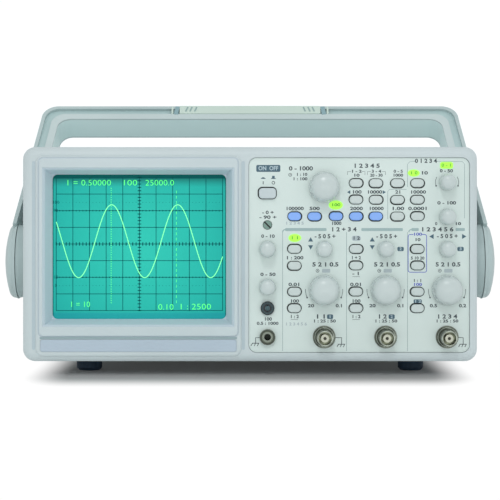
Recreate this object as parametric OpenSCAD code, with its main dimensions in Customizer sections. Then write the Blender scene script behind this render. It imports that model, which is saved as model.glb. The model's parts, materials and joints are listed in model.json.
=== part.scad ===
// Bench oscilloscope with a swinging carrying bail.
// X runs to the right, Y to the back and Z up. The origin is on the floor, below the middle of the box.

/* [Front frame] */
// Border between the left edge and the screen surround
left_border = 9.9; // [9:0.1:14]
// Gap between the screen surround and the control panel
middle_gap = 6.1; // [5:0.1:12]
// Border to the right of the control panel
right_border = 4.8; // [4.6:0.2:8]
// Margin of the raised field beside the screen surround
field_side = 2; // [1.6:0.1:3]
// Margin of the raised field above the screen surround
field_top = 1.4; // [1:0.1:2.4]
// Height of the raised field's foot, which holds the plate below the screen
field_foot = 12.2; // [11:0.1:14]
// How far the raised field stands proud of the front frame
field_proud = 1; // [0.6:0.1:1.4]
// Border above the control panel
top_border = 6.4; // [5.6:0.2:9]
// Border below the control panel
bottom_border = 5.5; // [5:0.1:9]
// Corner radius of the front frame seen from the front
bezel_corner = 7.5; // [6.5:0.5:10]
// Rounding of the front frame's outer edge
bezel_edge = 5; // [3:0.5:6]
// Depth of the front frame
bezel_depth = 28; // [26:1:40]
// Wall of the front frame's skirt
bezel_wall = 2.5; // [2:0.1:3.5]
// Thickness of the front frame's face
bezel_face = 5; // [4.4:0.2:7]

/* [Screen] */
// Width of the visible screen
window_w = 106.1; // [90:0.1:112]
// Height of the visible screen
window_h = 88.3; // [76:0.1:92]
// Width of the sloped recess wall at the sides
slope_side = 4.4; // [3:0.1:7]
// Width of the sloped recess wall above and below
slope_top = 3.3; // [2.6:0.1:6]
// Flat band of the surround at the sides
band_side = 3.2; // [2.4:0.1:4]
// Flat band of the surround above and below
band_top = 6.8; // [5:0.1:8]
// Distance from the top of the front frame to the surround
surround_drop = 6.6; // [6:0.1:9]
// How far the surround stands proud of the front frame
surround_proud = 1.7; // [1.2:0.1:2.4]
// Depth of the sloped recess behind the surround's front
recess_depth = 10; // [8:0.1:14]
// Thickness of the tinted filter
filter_t = 2.5; // [1.5:0.1:4]
// Margin of the filter and tube face around the visible screen
face_margin = 4; // [3:0.1:5]
// Thickness of the tube's face block
tube_face = 16; // [12:0.5:24]
// Length of the tube's funnel
funnel_len = 120; // [80:1:140]
// Length of the tube's neck
neck_len = 110; // [70:1:120]
// Radius of the tube's neck
neck_r = 14; // [10:0.5:18]

/* [Control panel] */
// Thickness of the panel plate
panel_t = 2; // [1.5:0.1:2.4]
// How deep the panel lies in its pocket
panel_recess = 1; // [0.4:0.1:1.4]
// Width of the ledge that carries the panel
panel_ledge = 3; // [2:0.1:3.6]
// First key column, from the panel's left edge
key_column = 27.9; // [26.8:0.1:30]
// Distance between the key columns of two blocks
block_pitch = 37.3; // [36:0.1:40]
// Distance between neighbouring keys in a row
key_pitch = 12.1; // [11.2:0.1:12.6]
// Distance from a key column to its dial column
dial_offset = 18; // [17:0.1:20]
// Distance from the last dial column to the panel's right edge
panel_end = 13.8; // [13:0.1:17]
// Column of the screen controls, from the panel's left edge
left_column = 11.5; // [10.8:0.1:12.4]
// Row of the front sockets, above the panel's lower edge
socket_row = 9.5; // [9.2:0.1:11]
// Rise from the socket row to the large dials
dial_rise = 28.5; // [27:0.1:31]
// Rise from the large dials to the position knobs
position_rise = 24.9; // [24:0.1:28]
// Rise from the position knobs to the lowest key row
key_rise = 19.8; // [18:0.1:23]
// Distance between key rows
key_row_pitch = 10.1; // [9.2:0.1:10.6]
// Distance from the highest key row to the panel's upper edge
panel_head = 15.6; // [14:0.1:18]

/* [Keys] */
// Width of a key
key_w = 7.9; // [7:0.1:8.6]
// Height of a key
key_h = 4.9; // [4.2:0.1:5.6]
// How far a key stands proud of the panel
key_proud = 1.4; // [1:0.1:2.2]
// Travel of a key
key_travel = 0.8; // [0.4:0.1:1]
// Width of the power button
power_w = 10.4; // [9:0.1:11.5]
// Height of the power button
power_h = 6.4; // [5.6:0.1:7.4]
// How far the power button stands proud when it is on
power_proud = 2.6; // [2:0.1:4]
// Further travel of the power button when it is released
power_out = 3; // [2:0.1:3.4]
// Further travel of the power button when it is pressed
power_in = 1.2; // [0.6:0.1:1.4]
// Clearance of keys in their holes
key_clear = 0.4; // [0.3:0.05:0.6]

/* [Knobs] */
// Base radius of a small knob
knob_r = 5; // [4.2:0.1:5.6]
// Length of a small knob
knob_len = 12; // [9:0.5:16]
// Gap between a small knob and the panel
knob_gap = 0.8; // [0.5:0.1:1.2]
// Base radius of a large dial
dial_r = 9.3; // [8.4:0.1:10]
// Length of a large dial
dial_len = 13; // [10:0.5:18]
// Gap between a large dial and the panel
dial_gap = 1.6; // [1.4:0.1:2.4]
// Push travel of a large dial
dial_push = 1; // [0.5:0.1:1.1]
// Finger hollows round a large dial
dial_hollows = 12; // [8:1:16]
// Radius of the control shafts
shaft_r = 3; // [2.6:0.1:3.2]
// Clearance between turning pieces
turn_clear = 0.3; // [0.25:0.05:0.4]
// Radius of the screwdriver trimmer
trimmer_r = 2.6; // [2.2:0.1:3]

/* [Sockets] */
// Radius of a bayonet socket's barrel
barrel_r = 4.83; // [4.6:0.01:5]
// Reach of a bayonet socket in front of its panel
barrel_len = 14.5; // [12:0.1:16]
// Radius of a bayonet socket's nut
nut_r = 6.9; // [6.6:0.1:7.6]
// Bore radius of the earth jack
jack_bore = 2; // [1.9:0.05:2.2]
// Outer radius of the earth jack
jack_r = 4.8; // [4.2:0.1:5.4]
// Radius of the calibration terminal
terminal_r = 4.2; // [3.6:0.1:4.4]

/* [Case] */
// Distance from the front rim to the back of the rear panel
case_len = 348; // [320:1:380]
// Sheet thickness of the covers
cover_t = 1.2; // [0.8:0.1:1.6]
// Clearance between the covers and the frames that hold them
cover_clear = 0.4; // [0.3:0.1:0.8]
// Height of the joint between the covers above the front frame's lower edge
cover_joint = 20; // [16:1:26]
// Overlap of the two covers at their joint
cover_lap = 8; // [5:1:10]
// How far the covers slide under the frames
cover_tuck = 6; // [4:1:8]
// Depth of the rear frame
rear_depth = 20; // [16:1:26]
// Sheet thickness of the chassis
chassis_t = 1.5; // [1:0.1:2]
// Height of the rubber feet below the front frame
foot_h = 8.5; // [6:0.5:12]
// Radius of the rubber feet
foot_r = 8; // [7:0.5:11]
// Sideways distance of the rubber feet from the middle
foot_x = 101; // [90:1:108]
// Distance of the front feet behind the rim
foot_y = 42; // [38:1:60]
// Length of the rear stand feet
stand_len = 22; // [16:1:30]

/* [Handle] */
// Distance of the pivot behind the front rim
pivot_back = 55; // [54:0.5:58]
// Height of the pivot above the front frame's lower edge
pivot_up = 59.4; // [58:0.2:62]
// Radius of the hub
hub_r = 23.9; // [22:0.1:25]
// Thickness of the conical boss on each side
boss_t = 11.3; // [9:0.1:13]
// Thickness of the hub's rim
hub_rim = 4; // [3:0.1:5]
// Height of the hub's dome above its rim
hub_dome = 4.1; // [3:0.1:6]
// Radius of the pivot stub
stub_r = 6; // [5:0.1:8]
// Distance from the pivot to the top of the bail
bail_reach = 130.3; // [128:0.1:140]
// Width of the bail's top bar
bail_w = 18.2; // [16:0.1:22]
// Thickness of the whole bail
bail_t = 12.1; // [11:0.1:14]
// Thickness of the bail's outer strap
strap_t = 2.4; // [2:0.1:3.2]
// Outer corner radius of the bail
bail_corner = 11; // [9:0.1:14]
// Inner corner radius of the grip
grip_corner = 9; // [6:0.1:12]
// Inward slope of the arms, as a share of their length
bail_flare = 0.083; // [0.06:0.001:0.09]
// Lean of the bail behind upright at rest
bail_lean = 42; // [30:1:44]
// Thickness of the grip's inner ridge
ridge_t = 4.8; // [4:0.1:5.6]
// Set-back of the grip's web behind its ridge
web_set = 2.2; // [1:0.1:3]
// Room between the grip's lower ends and the front frame as the bail swings past
swing_gap = 0.6; // [0.5:0.1:2]

/* [Hidden] */
$fn = 64;
eps = 0.01;

// Frame sizes
mouth_w = window_w + 2 * slope_side;
mouth_h = window_h + 2 * slope_top;
surround_w = mouth_w + 2 * band_side;
surround_h = mouth_h + 2 * band_top;
panel_w = key_column + 2 * block_pitch + dial_offset + panel_end;
panel_h = socket_row + dial_rise + position_rise + key_rise + 2 * key_row_pitch + panel_head;
bezel_w = left_border + surround_w + middle_gap + panel_w + right_border;
bezel_h = top_border + panel_h + bottom_border;
panel_x = bezel_w / 2 - right_border - panel_w;
panel_mid_x = panel_x + panel_w / 2;
panel_mid_z = bottom_border + panel_h / 2;
panel_front = panel_recess;
panel_back = panel_front + panel_t;
panel_corner = 5;
panel_fit = 0.2;
screen_x = -bezel_w / 2 + left_border + surround_w / 2;
screen_z = bezel_h - surround_drop - surround_h / 2;
surround_corner = 3;
field_w = surround_w + 2 * field_side;
field_h = field_top + surround_h + field_foot;
field_z = screen_z + (field_top - field_foot) / 2;
field_corner = 5;
field_edge = 1.6;
surround_edge = 1.2;
surround_lip = 3;
surround_lip_t = 2;
window_corner = 3;
window_wall = 1.5;
tube_corner = 8;
recess_y = recess_depth - surround_proud;
filter_y = recess_y + window_wall;
tube_y = filter_y + filter_t;
holder_wall = 2;
plate_gap = 1.6;
plate_h = 7.7;
plate_corner = 1.5;
plate_sink = 0.5;
plate_z = screen_z - surround_h / 2 - plate_gap - plate_h / 2;

// Case sizes
cover_in = bezel_wall + cover_clear;
cover_w = bezel_w - 2 * cover_in;
cover_corner = 4;
cover_front = bezel_depth - cover_tuck;
cover_back = case_len - rear_depth + cover_tuck;
cover_mid = (cover_front + cover_back) / 2;
lower_in = cover_in + cover_t + cover_clear / 2;
lower_w = bezel_w - 2 * lower_in;
floor_z = cover_in + cover_t;
chassis_w = lower_w - 2 * cover_t;
chassis_front = tube_y + tube_face / 2;
chassis_back = cover_back - cover_tuck;
chassis_top = bezel_h - cover_in - cover_t - 12;
rear_face = 3;
rear_edge = 3;
rear_corner = bezel_corner;

// Panel grid
left_x = panel_x + left_column;
block_x = [for (i = [0:2]) panel_x + key_column + i * block_pitch];
dial_x = [for (x = block_x) x + dial_offset];
key_x = [
    block_x[0], block_x[0] + key_pitch,
    block_x[1] - key_pitch, block_x[1], block_x[1] + key_pitch,
    block_x[2] - key_pitch, block_x[2]
];
panel_top = bezel_h - top_border;
key_z = [for (i = [0:2]) panel_top - panel_head - i * key_row_pitch];
socket_z = bottom_border + socket_row;
dial_z = socket_z + dial_rise;
position_z = dial_z + position_rise;
terminal_z = dial_z - 11;
block_z = [position_z, position_z - key_row_pitch, dial_z - 1, dial_z - 1 - key_row_pitch];
power_z = key_z[1] + 3.9;
trimmer_z = key_z[2] - 5.2;
variable_z = key_z[0] - 2.4;

// Depths behind the panel
board_y = panel_back + 9;
board_t = 1.6;
switch_len = 3.6;
plunger_len = 1;
flange_w = 1;
flange_t = 1.2;
flange_gap = 0.3;
stop_gap = 0.3;
pot_len = 6;
pot_w = 11;
bushing_r = shaft_r + turn_clear + 1;
bushing_gap = 0.3;
shaft_end = board_y - 1.5;
power_switch_len = 2.4;
key_edge = 0.7;
power_corner = 2.2;
post_r = 2.4;

// Reach in front of the rim and behind it
front_reach = dial_gap + dial_len - panel_recess;
total_len = front_reach + case_len + stand_len;
rim_y = front_reach - total_len / 2;

// Handle sizes
hub_gap = 0.4;
hub_in = cover_w / 2 + boss_t + hub_gap;
strap_x = hub_in + hub_rim;
hub_out = strap_x + hub_dome;
flare_cos = cos(atan(bail_flare));
flare_sin = sin(atan(bail_flare));
boss_foot = hub_r - 3.5;
boss_top = hub_r - 0.5;
spigot_r = 9;
stub_len = hub_rim + 1.6;
bail_span = 2 * hub_out;
frame_sweep = norm([pivot_back - bezel_edge, bezel_h - bezel_edge - pivot_up]) + bezel_edge;
grip_low = frame_sweep + swing_gap;

// Names of what repeats: name, x and z of each control
block_names = ["channel_1", "channel_2", "sweep"];
keys = concat(
    [for (i = [3:6]) [str("upper_key_", i - 2), key_x[i], key_z[0]]],
    [for (i = [3:6]) [str("middle_key_", i - 2), key_x[i], key_z[1]]],
    [for (i = [0:6]) [str("lower_key_", i + 1), key_x[i], key_z[2]]],
    [for (b = [0:2], i = [0:3]) [str(block_names[b], "_key_", i + 1), block_x[b], block_z[i]]]
);
knobs = [
    ["intensity_knob", left_x, position_z],
    ["focus_knob", left_x, dial_z + 1.9],
    ["position_1_knob", dial_x[0], position_z],
    ["position_2_knob", dial_x[1], position_z],
    ["position_x_knob", dial_x[2], position_z],
    ["level_knob", dial_x[2], key_z[0] + 0.5],
    ["holdoff_knob", dial_x[2], key_z[2] - 0.3]
];
dials = [
    ["variable", dial_x[0], variable_z],
    ["volts_1", dial_x[0], dial_z],
    ["volts_2", dial_x[1], dial_z],
    ["sweep_rate", dial_x[2], dial_z]
];
fixed_nodes = [
    "front_bezel", "screen_surround", "screen_filter", "crt_tube", "control_panel", "front_sockets",
    "electronics", "chassis", "upper_cover", "lower_cover", "rear_panel", "rear_sockets", "case_feet",
    "handle_bosses", "handle_bail", "handle_grip", "power_button", "rotation_trimmer"
];

bezel_colour = "#c3ccce";
panel_colour = "#ccd8d4";
knob_colour = "#ccd2d4";
key_colour = "#d2d7d6";
blue_colour = "#7fa9f0";
handle_colour = "#a3b6b8";
recess_colour = "#92aeb3";
screen_colour = "#1f9f92";
glass_colour = "#7d9a98";
metal_colour = "#b9b8ae";
sheet_colour = "#b4bab9";
rubber_colour = "#23282b";
board_colour = "#2f6b4a";

// Places a piece by its distance behind the rim and above the front frame's lower edge
module from_rim() {
    translate([0, rim_y, foot_h]) children();
}

// Extrudes a front view from depth y0 to depth y1
module front_extrude(y0, y1) {
    translate([0, y1, 0]) rotate([90, 0, 0]) linear_extrude(y1 - y0) children();
}

// Extrudes a side view, given as depth and height, across the middle
module side_extrude(width) {
    rotate([90, 0, 90]) linear_extrude(width, center = true) children();
}

// Turns a profile of radius and forward reach about a line to the front
module front_turn(x, y, z) {
    translate([x, y, z]) rotate([90, 0, 0]) rotate_extrude() children();
}

// Round bar along the depth
module front_rod(x, z, r, y0, y1) {
    translate([x, y1, z]) rotate([90, 0, 0]) cylinder(r = r, h = y1 - y0);
}

// Rectangle with round corners, centred
module round_rect(w, h, r) {
    square([w - 2 * r, h], center = true);
    square([w, h - 2 * r], center = true);
    for (sx = [-1, 1], sy = [-1, 1]) translate([sx * (w / 2 - r), sy * (h / 2 - r)]) circle(r);
}

// Slot with round ends, centred
module long_hole(w, h) {
    square([w - h, h], center = true);
    for (s = [-1, 1]) translate([s * (w - h) / 2, 0]) circle(h / 2);
}

// Section of a plate's edge: inset from the edge across, depth upwards, with a round front corner
module edge_section(edge, t, inset) {
    intersection() {
        square([inset, t]);
        union() {
            translate([edge, edge]) circle(edge);
            translate([edge, 0]) square([inset, t]);
            translate([0, edge]) square([inset, t]);
        }
    }
}

// Carries an edge section round a rectangle with round corners
module edge_ring(w, h, r) {
    for (sx = [-1, 1]) {
        linear_extrude(h - 2 * r, center = true) scale([sx, 1]) translate([-w / 2, 0]) children();
        rotate([0, 90, 0]) linear_extrude(w - 2 * r, center = true)
            scale([sx, 1]) translate([-h / 2, 0]) children();
    }
    for (i = [0:3]) {
        sx = (i == 0 || i == 3) ? 1 : -1;
        sz = i < 2 ? 1 : -1;
        translate([sx * (w / 2 - r), 0, sz * (h / 2 - r)]) rotate([90, 0, 0]) rotate([0, 0, 90 * i])
            rotate_extrude(angle = 90) translate([r, 0]) rotate(180) children();
    }
}

// Plate with round corners and a round front edge, from y = 0 back to y = t
module soft_plate(w, h, r, edge, t) {
    inset = edge + (r - edge) / 2;
    edge_ring(w, h, r) edge_section(edge, t, inset);
    front_extrude(0, t) round_rect(w - 2 * edge, h - 2 * edge, r - edge);
}

// Opening that narrows evenly from its mouth at y0 to its throat at y1
module sloped_opening(w0, h0, w1, h1, y0, y1) {
    intersection() {
        linear_extrude(2 * h0, center = true)
            polygon([[-w0 / 2, y0], [w0 / 2, y0], [w1 / 2, y1], [-w1 / 2, y1]]);
        side_extrude(2 * w0) polygon([[y0, -h0 / 2], [y0, h0 / 2], [y1, h1 / 2], [y1, -h1 / 2]]);
    }
}

module at_screen() {
    translate([screen_x, 0, screen_z]) children();
}

module front_bezel() {
    skirt_r = bezel_corner - bezel_wall;
    color(bezel_colour) from_rim() difference() {
        union() {
            translate([0, 0, bezel_h / 2])
                soft_plate(bezel_w, bezel_h, bezel_corner, bezel_edge, bezel_depth);
            translate([screen_x, -field_proud, field_z])
                soft_plate(field_w, field_h, field_corner, field_edge, field_proud + bezel_face);
        }
        translate([0, 0, bezel_h / 2]) front_extrude(bezel_face, bezel_depth + 1)
            round_rect(bezel_w - 2 * bezel_wall, bezel_h - 2 * bezel_wall, skirt_r);
        at_screen() front_extrude(-field_proud - 1, bezel_face + 1)
            round_rect(surround_w + 2 * panel_fit, surround_h + 2 * panel_fit, surround_corner + panel_fit);
        translate([panel_mid_x, 0, panel_mid_z]) front_extrude(-1, panel_back)
            round_rect(panel_w, panel_h, panel_corner);
        translate([panel_mid_x, 0, panel_mid_z]) front_extrude(-1, bezel_face + 1)
            square([panel_w - 2 * panel_ledge, panel_h - 2 * panel_ledge], center = true);
        translate([screen_x, 0, plate_z]) front_extrude(-field_proud - 1, plate_sink - field_proud)
            round_rect(surround_w - 2, plate_h, plate_corner);
    }
}

module screen_surround() {
    holder_w = window_w + 2 * face_margin + 2 * turn_clear;
    holder_h = window_h + 2 * face_margin + 2 * turn_clear;
    lip = 0.9;
    color(bezel_colour) from_rim() at_screen() difference() {
        union() {
            translate([0, -surround_proud, 0]) soft_plate(
                surround_w, surround_h, surround_corner, surround_edge, surround_proud + bezel_face);
            front_extrude(bezel_face, bezel_face + surround_lip_t)
                round_rect(surround_w + 2 * surround_lip, surround_h + 2 * surround_lip, surround_corner);
            front_extrude(bezel_face, tube_y)
                square([holder_w + 2 * holder_wall, holder_h + 2 * holder_wall], center = true);
        }
        sloped_opening(mouth_w, mouth_h, window_w, window_h, -surround_proud - eps, recess_y);
        sloped_opening(mouth_w + 2 * lip, mouth_h + 2 * lip, mouth_w - 2 * lip, mouth_h - 2 * lip,
            -surround_proud - eps, 2 * lip - surround_proud);
        front_extrude(recess_y - 1, filter_y + 1) round_rect(window_w, window_h, window_corner);
        front_extrude(filter_y, tube_y + 1) square([holder_w, holder_h], center = true);
    }
}

module screen_filter() {
    color(screen_colour) from_rim() at_screen() front_extrude(filter_y, filter_y + filter_t)
        square([window_w + 2 * face_margin, window_h + 2 * face_margin], center = true);
}

module crt_tube() {
    face_w = window_w + 2 * face_margin;
    face_h = window_h + 2 * face_margin;
    funnel_y = tube_y + tube_face;
    neck_y = funnel_y + funnel_len;
    base_len = 14;
    color(glass_colour) from_rim() at_screen() {
        front_extrude(tube_y, funnel_y) round_rect(face_w, face_h, tube_corner);
        hull() {
            front_extrude(funnel_y, funnel_y + 1) round_rect(face_w - 2, face_h - 2, tube_corner, $fn = 32);
            front_rod(0, 0, neck_r + 1, neck_y - 1, neck_y, $fn = 32);
        }
        front_rod(0, 0, neck_r, neck_y - 1, neck_y + neck_len - base_len);
        front_rod(0, 0, neck_r + 1.5, neck_y + neck_len - base_len, neck_y + neck_len);
    }
}

// Hole for a socket's bushing, with room round it
function bushing_hole(r) = r - 0.6;

module control_panel() {
    hole_clear = 2 * key_clear;
    color(panel_colour) from_rim() difference() {
        translate([panel_mid_x, 0, panel_mid_z]) front_extrude(panel_front, panel_back)
            round_rect(panel_w - 2 * panel_fit, panel_h - 2 * panel_fit, panel_corner - panel_fit);
        front_extrude(panel_front - 1, panel_back + 1) {
            for (k = keys) translate([k[1], k[2]]) long_hole(key_w + hole_clear, key_h + hole_clear);
            for (k = knobs) translate([k[1], k[2]]) circle(shaft_r + turn_clear);
            for (d = dials) translate([d[1], d[2]]) circle(shaft_r + turn_clear);
            for (x = dial_x) translate([x, socket_z]) circle(bushing_hole(nut_r));
            translate([left_x, socket_z]) circle(bushing_hole(jack_r));
            translate([left_x, terminal_z]) circle(bushing_hole(terminal_r));
            translate([left_x, trimmer_z]) circle(trimmer_r + turn_clear);
            translate([left_x, power_z])
                round_rect(power_w + hole_clear, power_h + hole_clear, power_corner + key_clear);
        }
    }
}

// Bayonet socket on a plate whose front is at y = 0, with its bushing through the plate
module bayonet_socket(plate_t) {
    washer_t = 0.9;
    nut_t = 2.6;
    collar_t = 1.2;
    mouth_r = 4;
    mouth_deep = 8.4;
    core_r = 2.4;
    core_back = 3;
    pin_hole = 0.7;
    land_len = 4;
    throat_r = barrel_r - 0.25;
    lug_r = 1;
    lug_back = 5.2;
    lug_reach = 5.6;
    tail_len = 5;
    difference() {
        union() {
            front_rod(0, 0, nut_r, -washer_t, 0);
            translate([0, -washer_t + eps, 0]) rotate([90, 0, 0])
                cylinder(r1 = nut_r - 0.5, r2 = nut_r - 1, h = nut_t - washer_t);
            front_rod(0, 0, barrel_r + 0.5, -nut_t - collar_t, -nut_t + eps);
            front_rod(0, 0, barrel_r, -barrel_len, land_len - barrel_len);
            front_rod(0, 0, throat_r, land_len - barrel_len - eps, eps);
            front_rod(0, 0, bushing_hole(nut_r) - panel_fit, -eps, plate_t + tail_len);
            translate([0, lug_back - barrel_len, 0]) cylinder(r = lug_r, h = 2 * lug_reach, center = true);
        }
        front_rod(0, 0, mouth_r, -barrel_len - 1, mouth_deep - barrel_len);
    }
    difference() {
        front_rod(0, 0, core_r, core_back - barrel_len, mouth_deep - barrel_len);
        front_rod(0, 0, pin_hole, core_back - barrel_len - 1, mouth_deep - barrel_len - 1);
    }
}

module earth_jack() {
    rim_t = 3;
    recess_r = 3.4;
    recess_deep = 1;
    bore_len = 12;
    tail_len = 12;
    difference() {
        union() {
            front_rod(0, 0, jack_r, -rim_t, 0);
            front_rod(0, 0, bushing_hole(jack_r) - panel_fit, -eps, panel_t + tail_len);
        }
        front_rod(0, 0, recess_r, -rim_t - 1, recess_deep - rim_t);
        front_rod(0, 0, jack_bore, -rim_t - 1, bore_len - rim_t);
    }
}

module calibration_terminal() {
    rim_t = 1.8;
    well_r = 3.2;
    well_deep = 1.2;
    loop_r = 1.5;
    wire_r = 0.45;
    tail_len = 5;
    difference() {
        union() {
            front_rod(0, 0, terminal_r, -rim_t, 0);
            front_rod(0, 0, bushing_hole(terminal_r) - panel_fit, -eps, panel_t + tail_len);
        }
        front_rod(0, 0, well_r, -rim_t - 1, well_deep - rim_t);
    }
    translate([0, well_deep - rim_t, 0]) rotate([0, 90, 0]) rotate([0, 0, 180])
        rotate_extrude(angle = 180) translate([loop_r, 0]) circle(wire_r);
}

module front_sockets() {
    color(metal_colour) from_rim() translate([0, panel_front, 0]) {
        for (x = dial_x) translate([x, 0, socket_z]) bayonet_socket(panel_t);
        translate([left_x, 0, socket_z]) earth_jack();
        translate([left_x, 0, terminal_z]) calibration_terminal();
    }
}

// Rotary control on the front board, with an open bushing for its shaft
module rotary_body(x, z) {
    difference() {
        union() {
            translate([x - pot_w / 2, board_y - pot_len, z - pot_w / 2]) cube([pot_w, pot_len + eps, pot_w]);
            front_rod(x, z, bushing_r, panel_back + bushing_gap, board_y - pot_len + eps);
        }
        front_rod(x, z, shaft_r + turn_clear, panel_back, shaft_end + stop_gap + dial_push);
    }
}

// Push switch on the front board, with its plunger
module push_switch(x, z) {
    body_w = 6;
    plunger_r = 1.7;
    translate([x - body_w / 2, board_y - switch_len, z - body_w / 2])
        cube([body_w, switch_len + eps, body_w]);
    front_rod(x, z, plunger_r, board_y - switch_len - plunger_len, board_y - switch_len + eps);
}

module front_board() {
    board_in = panel_ledge - 1;
    post_x = [(left_x + block_x[0]) / 2, (block_x[2] + dial_x[2]) / 2];
    post_z = [(socket_z + block_z[3]) / 2, (block_z[0] + key_z[2]) / 2];
    difference() {
        union() {
            translate([panel_mid_x, 0, panel_mid_z]) front_extrude(board_y, board_y + board_t)
                square([panel_w - 2 * board_in, panel_h - 2 * board_in], center = true);
            for (x = post_x, z = post_z) front_rod(x, z, post_r, panel_back, board_y + eps);
            for (k = keys) push_switch(k[1], k[2]);
            translate([left_x - power_w / 2, board_y - power_switch_len, power_z - power_h / 2])
                cube([power_w, power_switch_len + eps, power_h]);
            for (c = concat(knobs, dials)) rotary_body(c[1], c[2]);
        }
        for (x = concat([left_x], dial_x)) front_rod(x, socket_z, nut_r, board_y - 1, board_y + board_t + 1);
        front_rod(left_x, terminal_z, terminal_r, board_y - 1, board_y + board_t + 1);
        front_rod(left_x, trimmer_z, trimmer_r + turn_clear, board_y - 1, board_y + board_t + 1);
    }
}

// Main board on its posts, with capacitors and a heat sink
module main_board() {
    main_w = 190;
    main_len = 180;
    main_y = chassis_front + 70;
    main_z = floor_z + chassis_t + 8;
    cap_r = 9;
    cap_h = 30;
    fins = 6;
    fin_pitch = 7;
    translate([-main_w / 2, main_y, main_z]) cube([main_w, main_len, board_t]);
    for (sx = [-1, 1], y = [12, main_len - 12])
        translate([sx * (main_w / 2 - 12), main_y + y, floor_z + chassis_t]) cylinder(
            r = 4, h = main_z - floor_z - chassis_t + eps);
    for (i = [0:2])
        translate([20 + i * 24, main_y + main_len - 30, main_z + board_t - eps])
            cylinder(r = cap_r, h = cap_h);
    for (i = [0:fins - 1])
        translate([30 + i * fin_pitch, main_y + 40, main_z + board_t - eps]) cube([2.5, 60, 26]);
    translate([30, main_y + 40, main_z + board_t - eps]) cube([fins * fin_pitch - 4.5, 60, 4]);
}

// Mains transformer: laminated core with its winding across it
module mains_transformer() {
    core = [64, 40, 54];
    winding = [40, 56, 36];
    place = [chassis_w / 2 - 48, chassis_back - 50, floor_z + chassis_t];
    translate(place + [-core[0] / 2, -core[1] / 2, 0]) cube(core);
    translate(place + [-winding[0] / 2, -winding[1] / 2, (core[2] - winding[2]) / 2]) cube(winding);
}

module electronics() {
    color(board_colour) from_rim() {
        front_board();
        main_board();
        mains_transformer();
    }
}

module chassis() {
    tube_gap = face_margin + turn_clear;
    bulkhead_up = chassis_top - floor_z;
    tray_len = chassis_back - chassis_front;
    tray_high = 2 * chassis_top;
    tray_corner = cover_corner - cover_t;
    color(sheet_colour) from_rim() difference() {
        front_extrude(chassis_front, chassis_back)
            sleeve_section(chassis_w, floor_z, tray_high, tray_corner);
        front_extrude(chassis_front + chassis_t, chassis_back + 1) sleeve_section(
            chassis_w - 2 * chassis_t, floor_z + chassis_t, tray_high + 9, tray_corner - chassis_t);
        translate([-chassis_w, chassis_front - 1, chassis_top]) cube([2 * chassis_w, case_len, tray_high]);
        at_screen() front_extrude(chassis_front - 1, chassis_front + chassis_t + 1)
            round_rect(window_w + 2 * tube_gap, window_h + 2 * tube_gap, tube_corner);
        translate([panel_mid_x, 0, panel_mid_z]) front_extrude(chassis_front - 1, chassis_front + chassis_t + 1)
            square([panel_w - 50, panel_h - 50], center = true);
        for (sx = [-1, 1]) translate([sx * chassis_w / 2, chassis_front + tray_len * 0.62, chassis_top])
            cube([4 * chassis_t, tray_len * 0.5, bulkhead_up], center = true);
    }
}

// Section of the case sleeve, from the front, with its corners rounded
module sleeve_section(w, low, high, r) {
    translate([0, (low + high) / 2]) round_rect(w, high - low, r);
}

// Row of vent slots along the depth, centred at y, each cut through along one axis
module vent_row(size, y) {
    first = y - (vent_count - 1) * vent_pitch / 2;
    for (i = [0:vent_count - 1]) translate([0, first + i * vent_pitch, 0]) cube(size, center = true);
}

vent_count = 16;
vent_pitch = 9;
vent_w = 3.2;
vent_len = 56;
vent_off = 62;
side_vent_h = 34;
vent_back = 40;

module upper_cover() {
    high = bezel_h - cover_in;
    top_vent = [vent_len, vent_w, 4 * cover_t + 2];
    side_vent = [cover_w + 2, vent_w, side_vent_h];
    color(sheet_colour) from_rim() difference() {
        front_extrude(cover_front, cover_back) sleeve_section(cover_w, cover_in, high, cover_corner);
        front_extrude(cover_front - 1, cover_back + 1)
            sleeve_section(cover_w - 2 * cover_t, cover_in - 1, high - cover_t, cover_corner - cover_t);
        translate([-cover_w, cover_front - 1, 0]) cube([2 * cover_w, case_len, cover_joint]);
        for (sx = [-1, 1]) translate([sx * vent_off, 0, high]) vent_row(top_vent, cover_mid + vent_back);
        translate([0, 0, high - 2 * side_vent_h]) vent_row(side_vent, cover_mid + vent_back);
        translate([0, pivot_back, pivot_up]) rotate([0, 90, 0])
            cylinder(r = spigot_r + turn_clear, h = cover_w + 2, center = true);
    }
}

module lower_cover() {
    high = cover_joint + cover_lap;
    base_vent = [vent_len, vent_w, 4 * cover_t];
    color(sheet_colour) from_rim() difference() {
        front_extrude(cover_front, cover_back) sleeve_section(lower_w, cover_in, 2 * high, cover_corner);
        front_extrude(cover_front - 1, cover_back + 1)
            sleeve_section(chassis_w, floor_z, 2 * high + cover_lap, cover_corner - cover_t);
        translate([-cover_w, cover_front - 1, high]) cube([2 * cover_w, case_len, 2 * high]);
        for (sx = [-1, 1]) translate([sx * vent_off / 2, 0, cover_in]) vent_row(base_vent, cover_mid);
    }
}

// Rear sockets: place of each on the rear panel
inlet_x = 84;
inlet_z = 36;
inlet_w = 28;
inlet_h = 21;
inlet_flange = 3;
serial_x = -78;
serial_z = 36;
serial_w = 25;
serial_h = 11;
rear_socket_x = [-96, -58];
rear_socket_z = 92;

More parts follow.
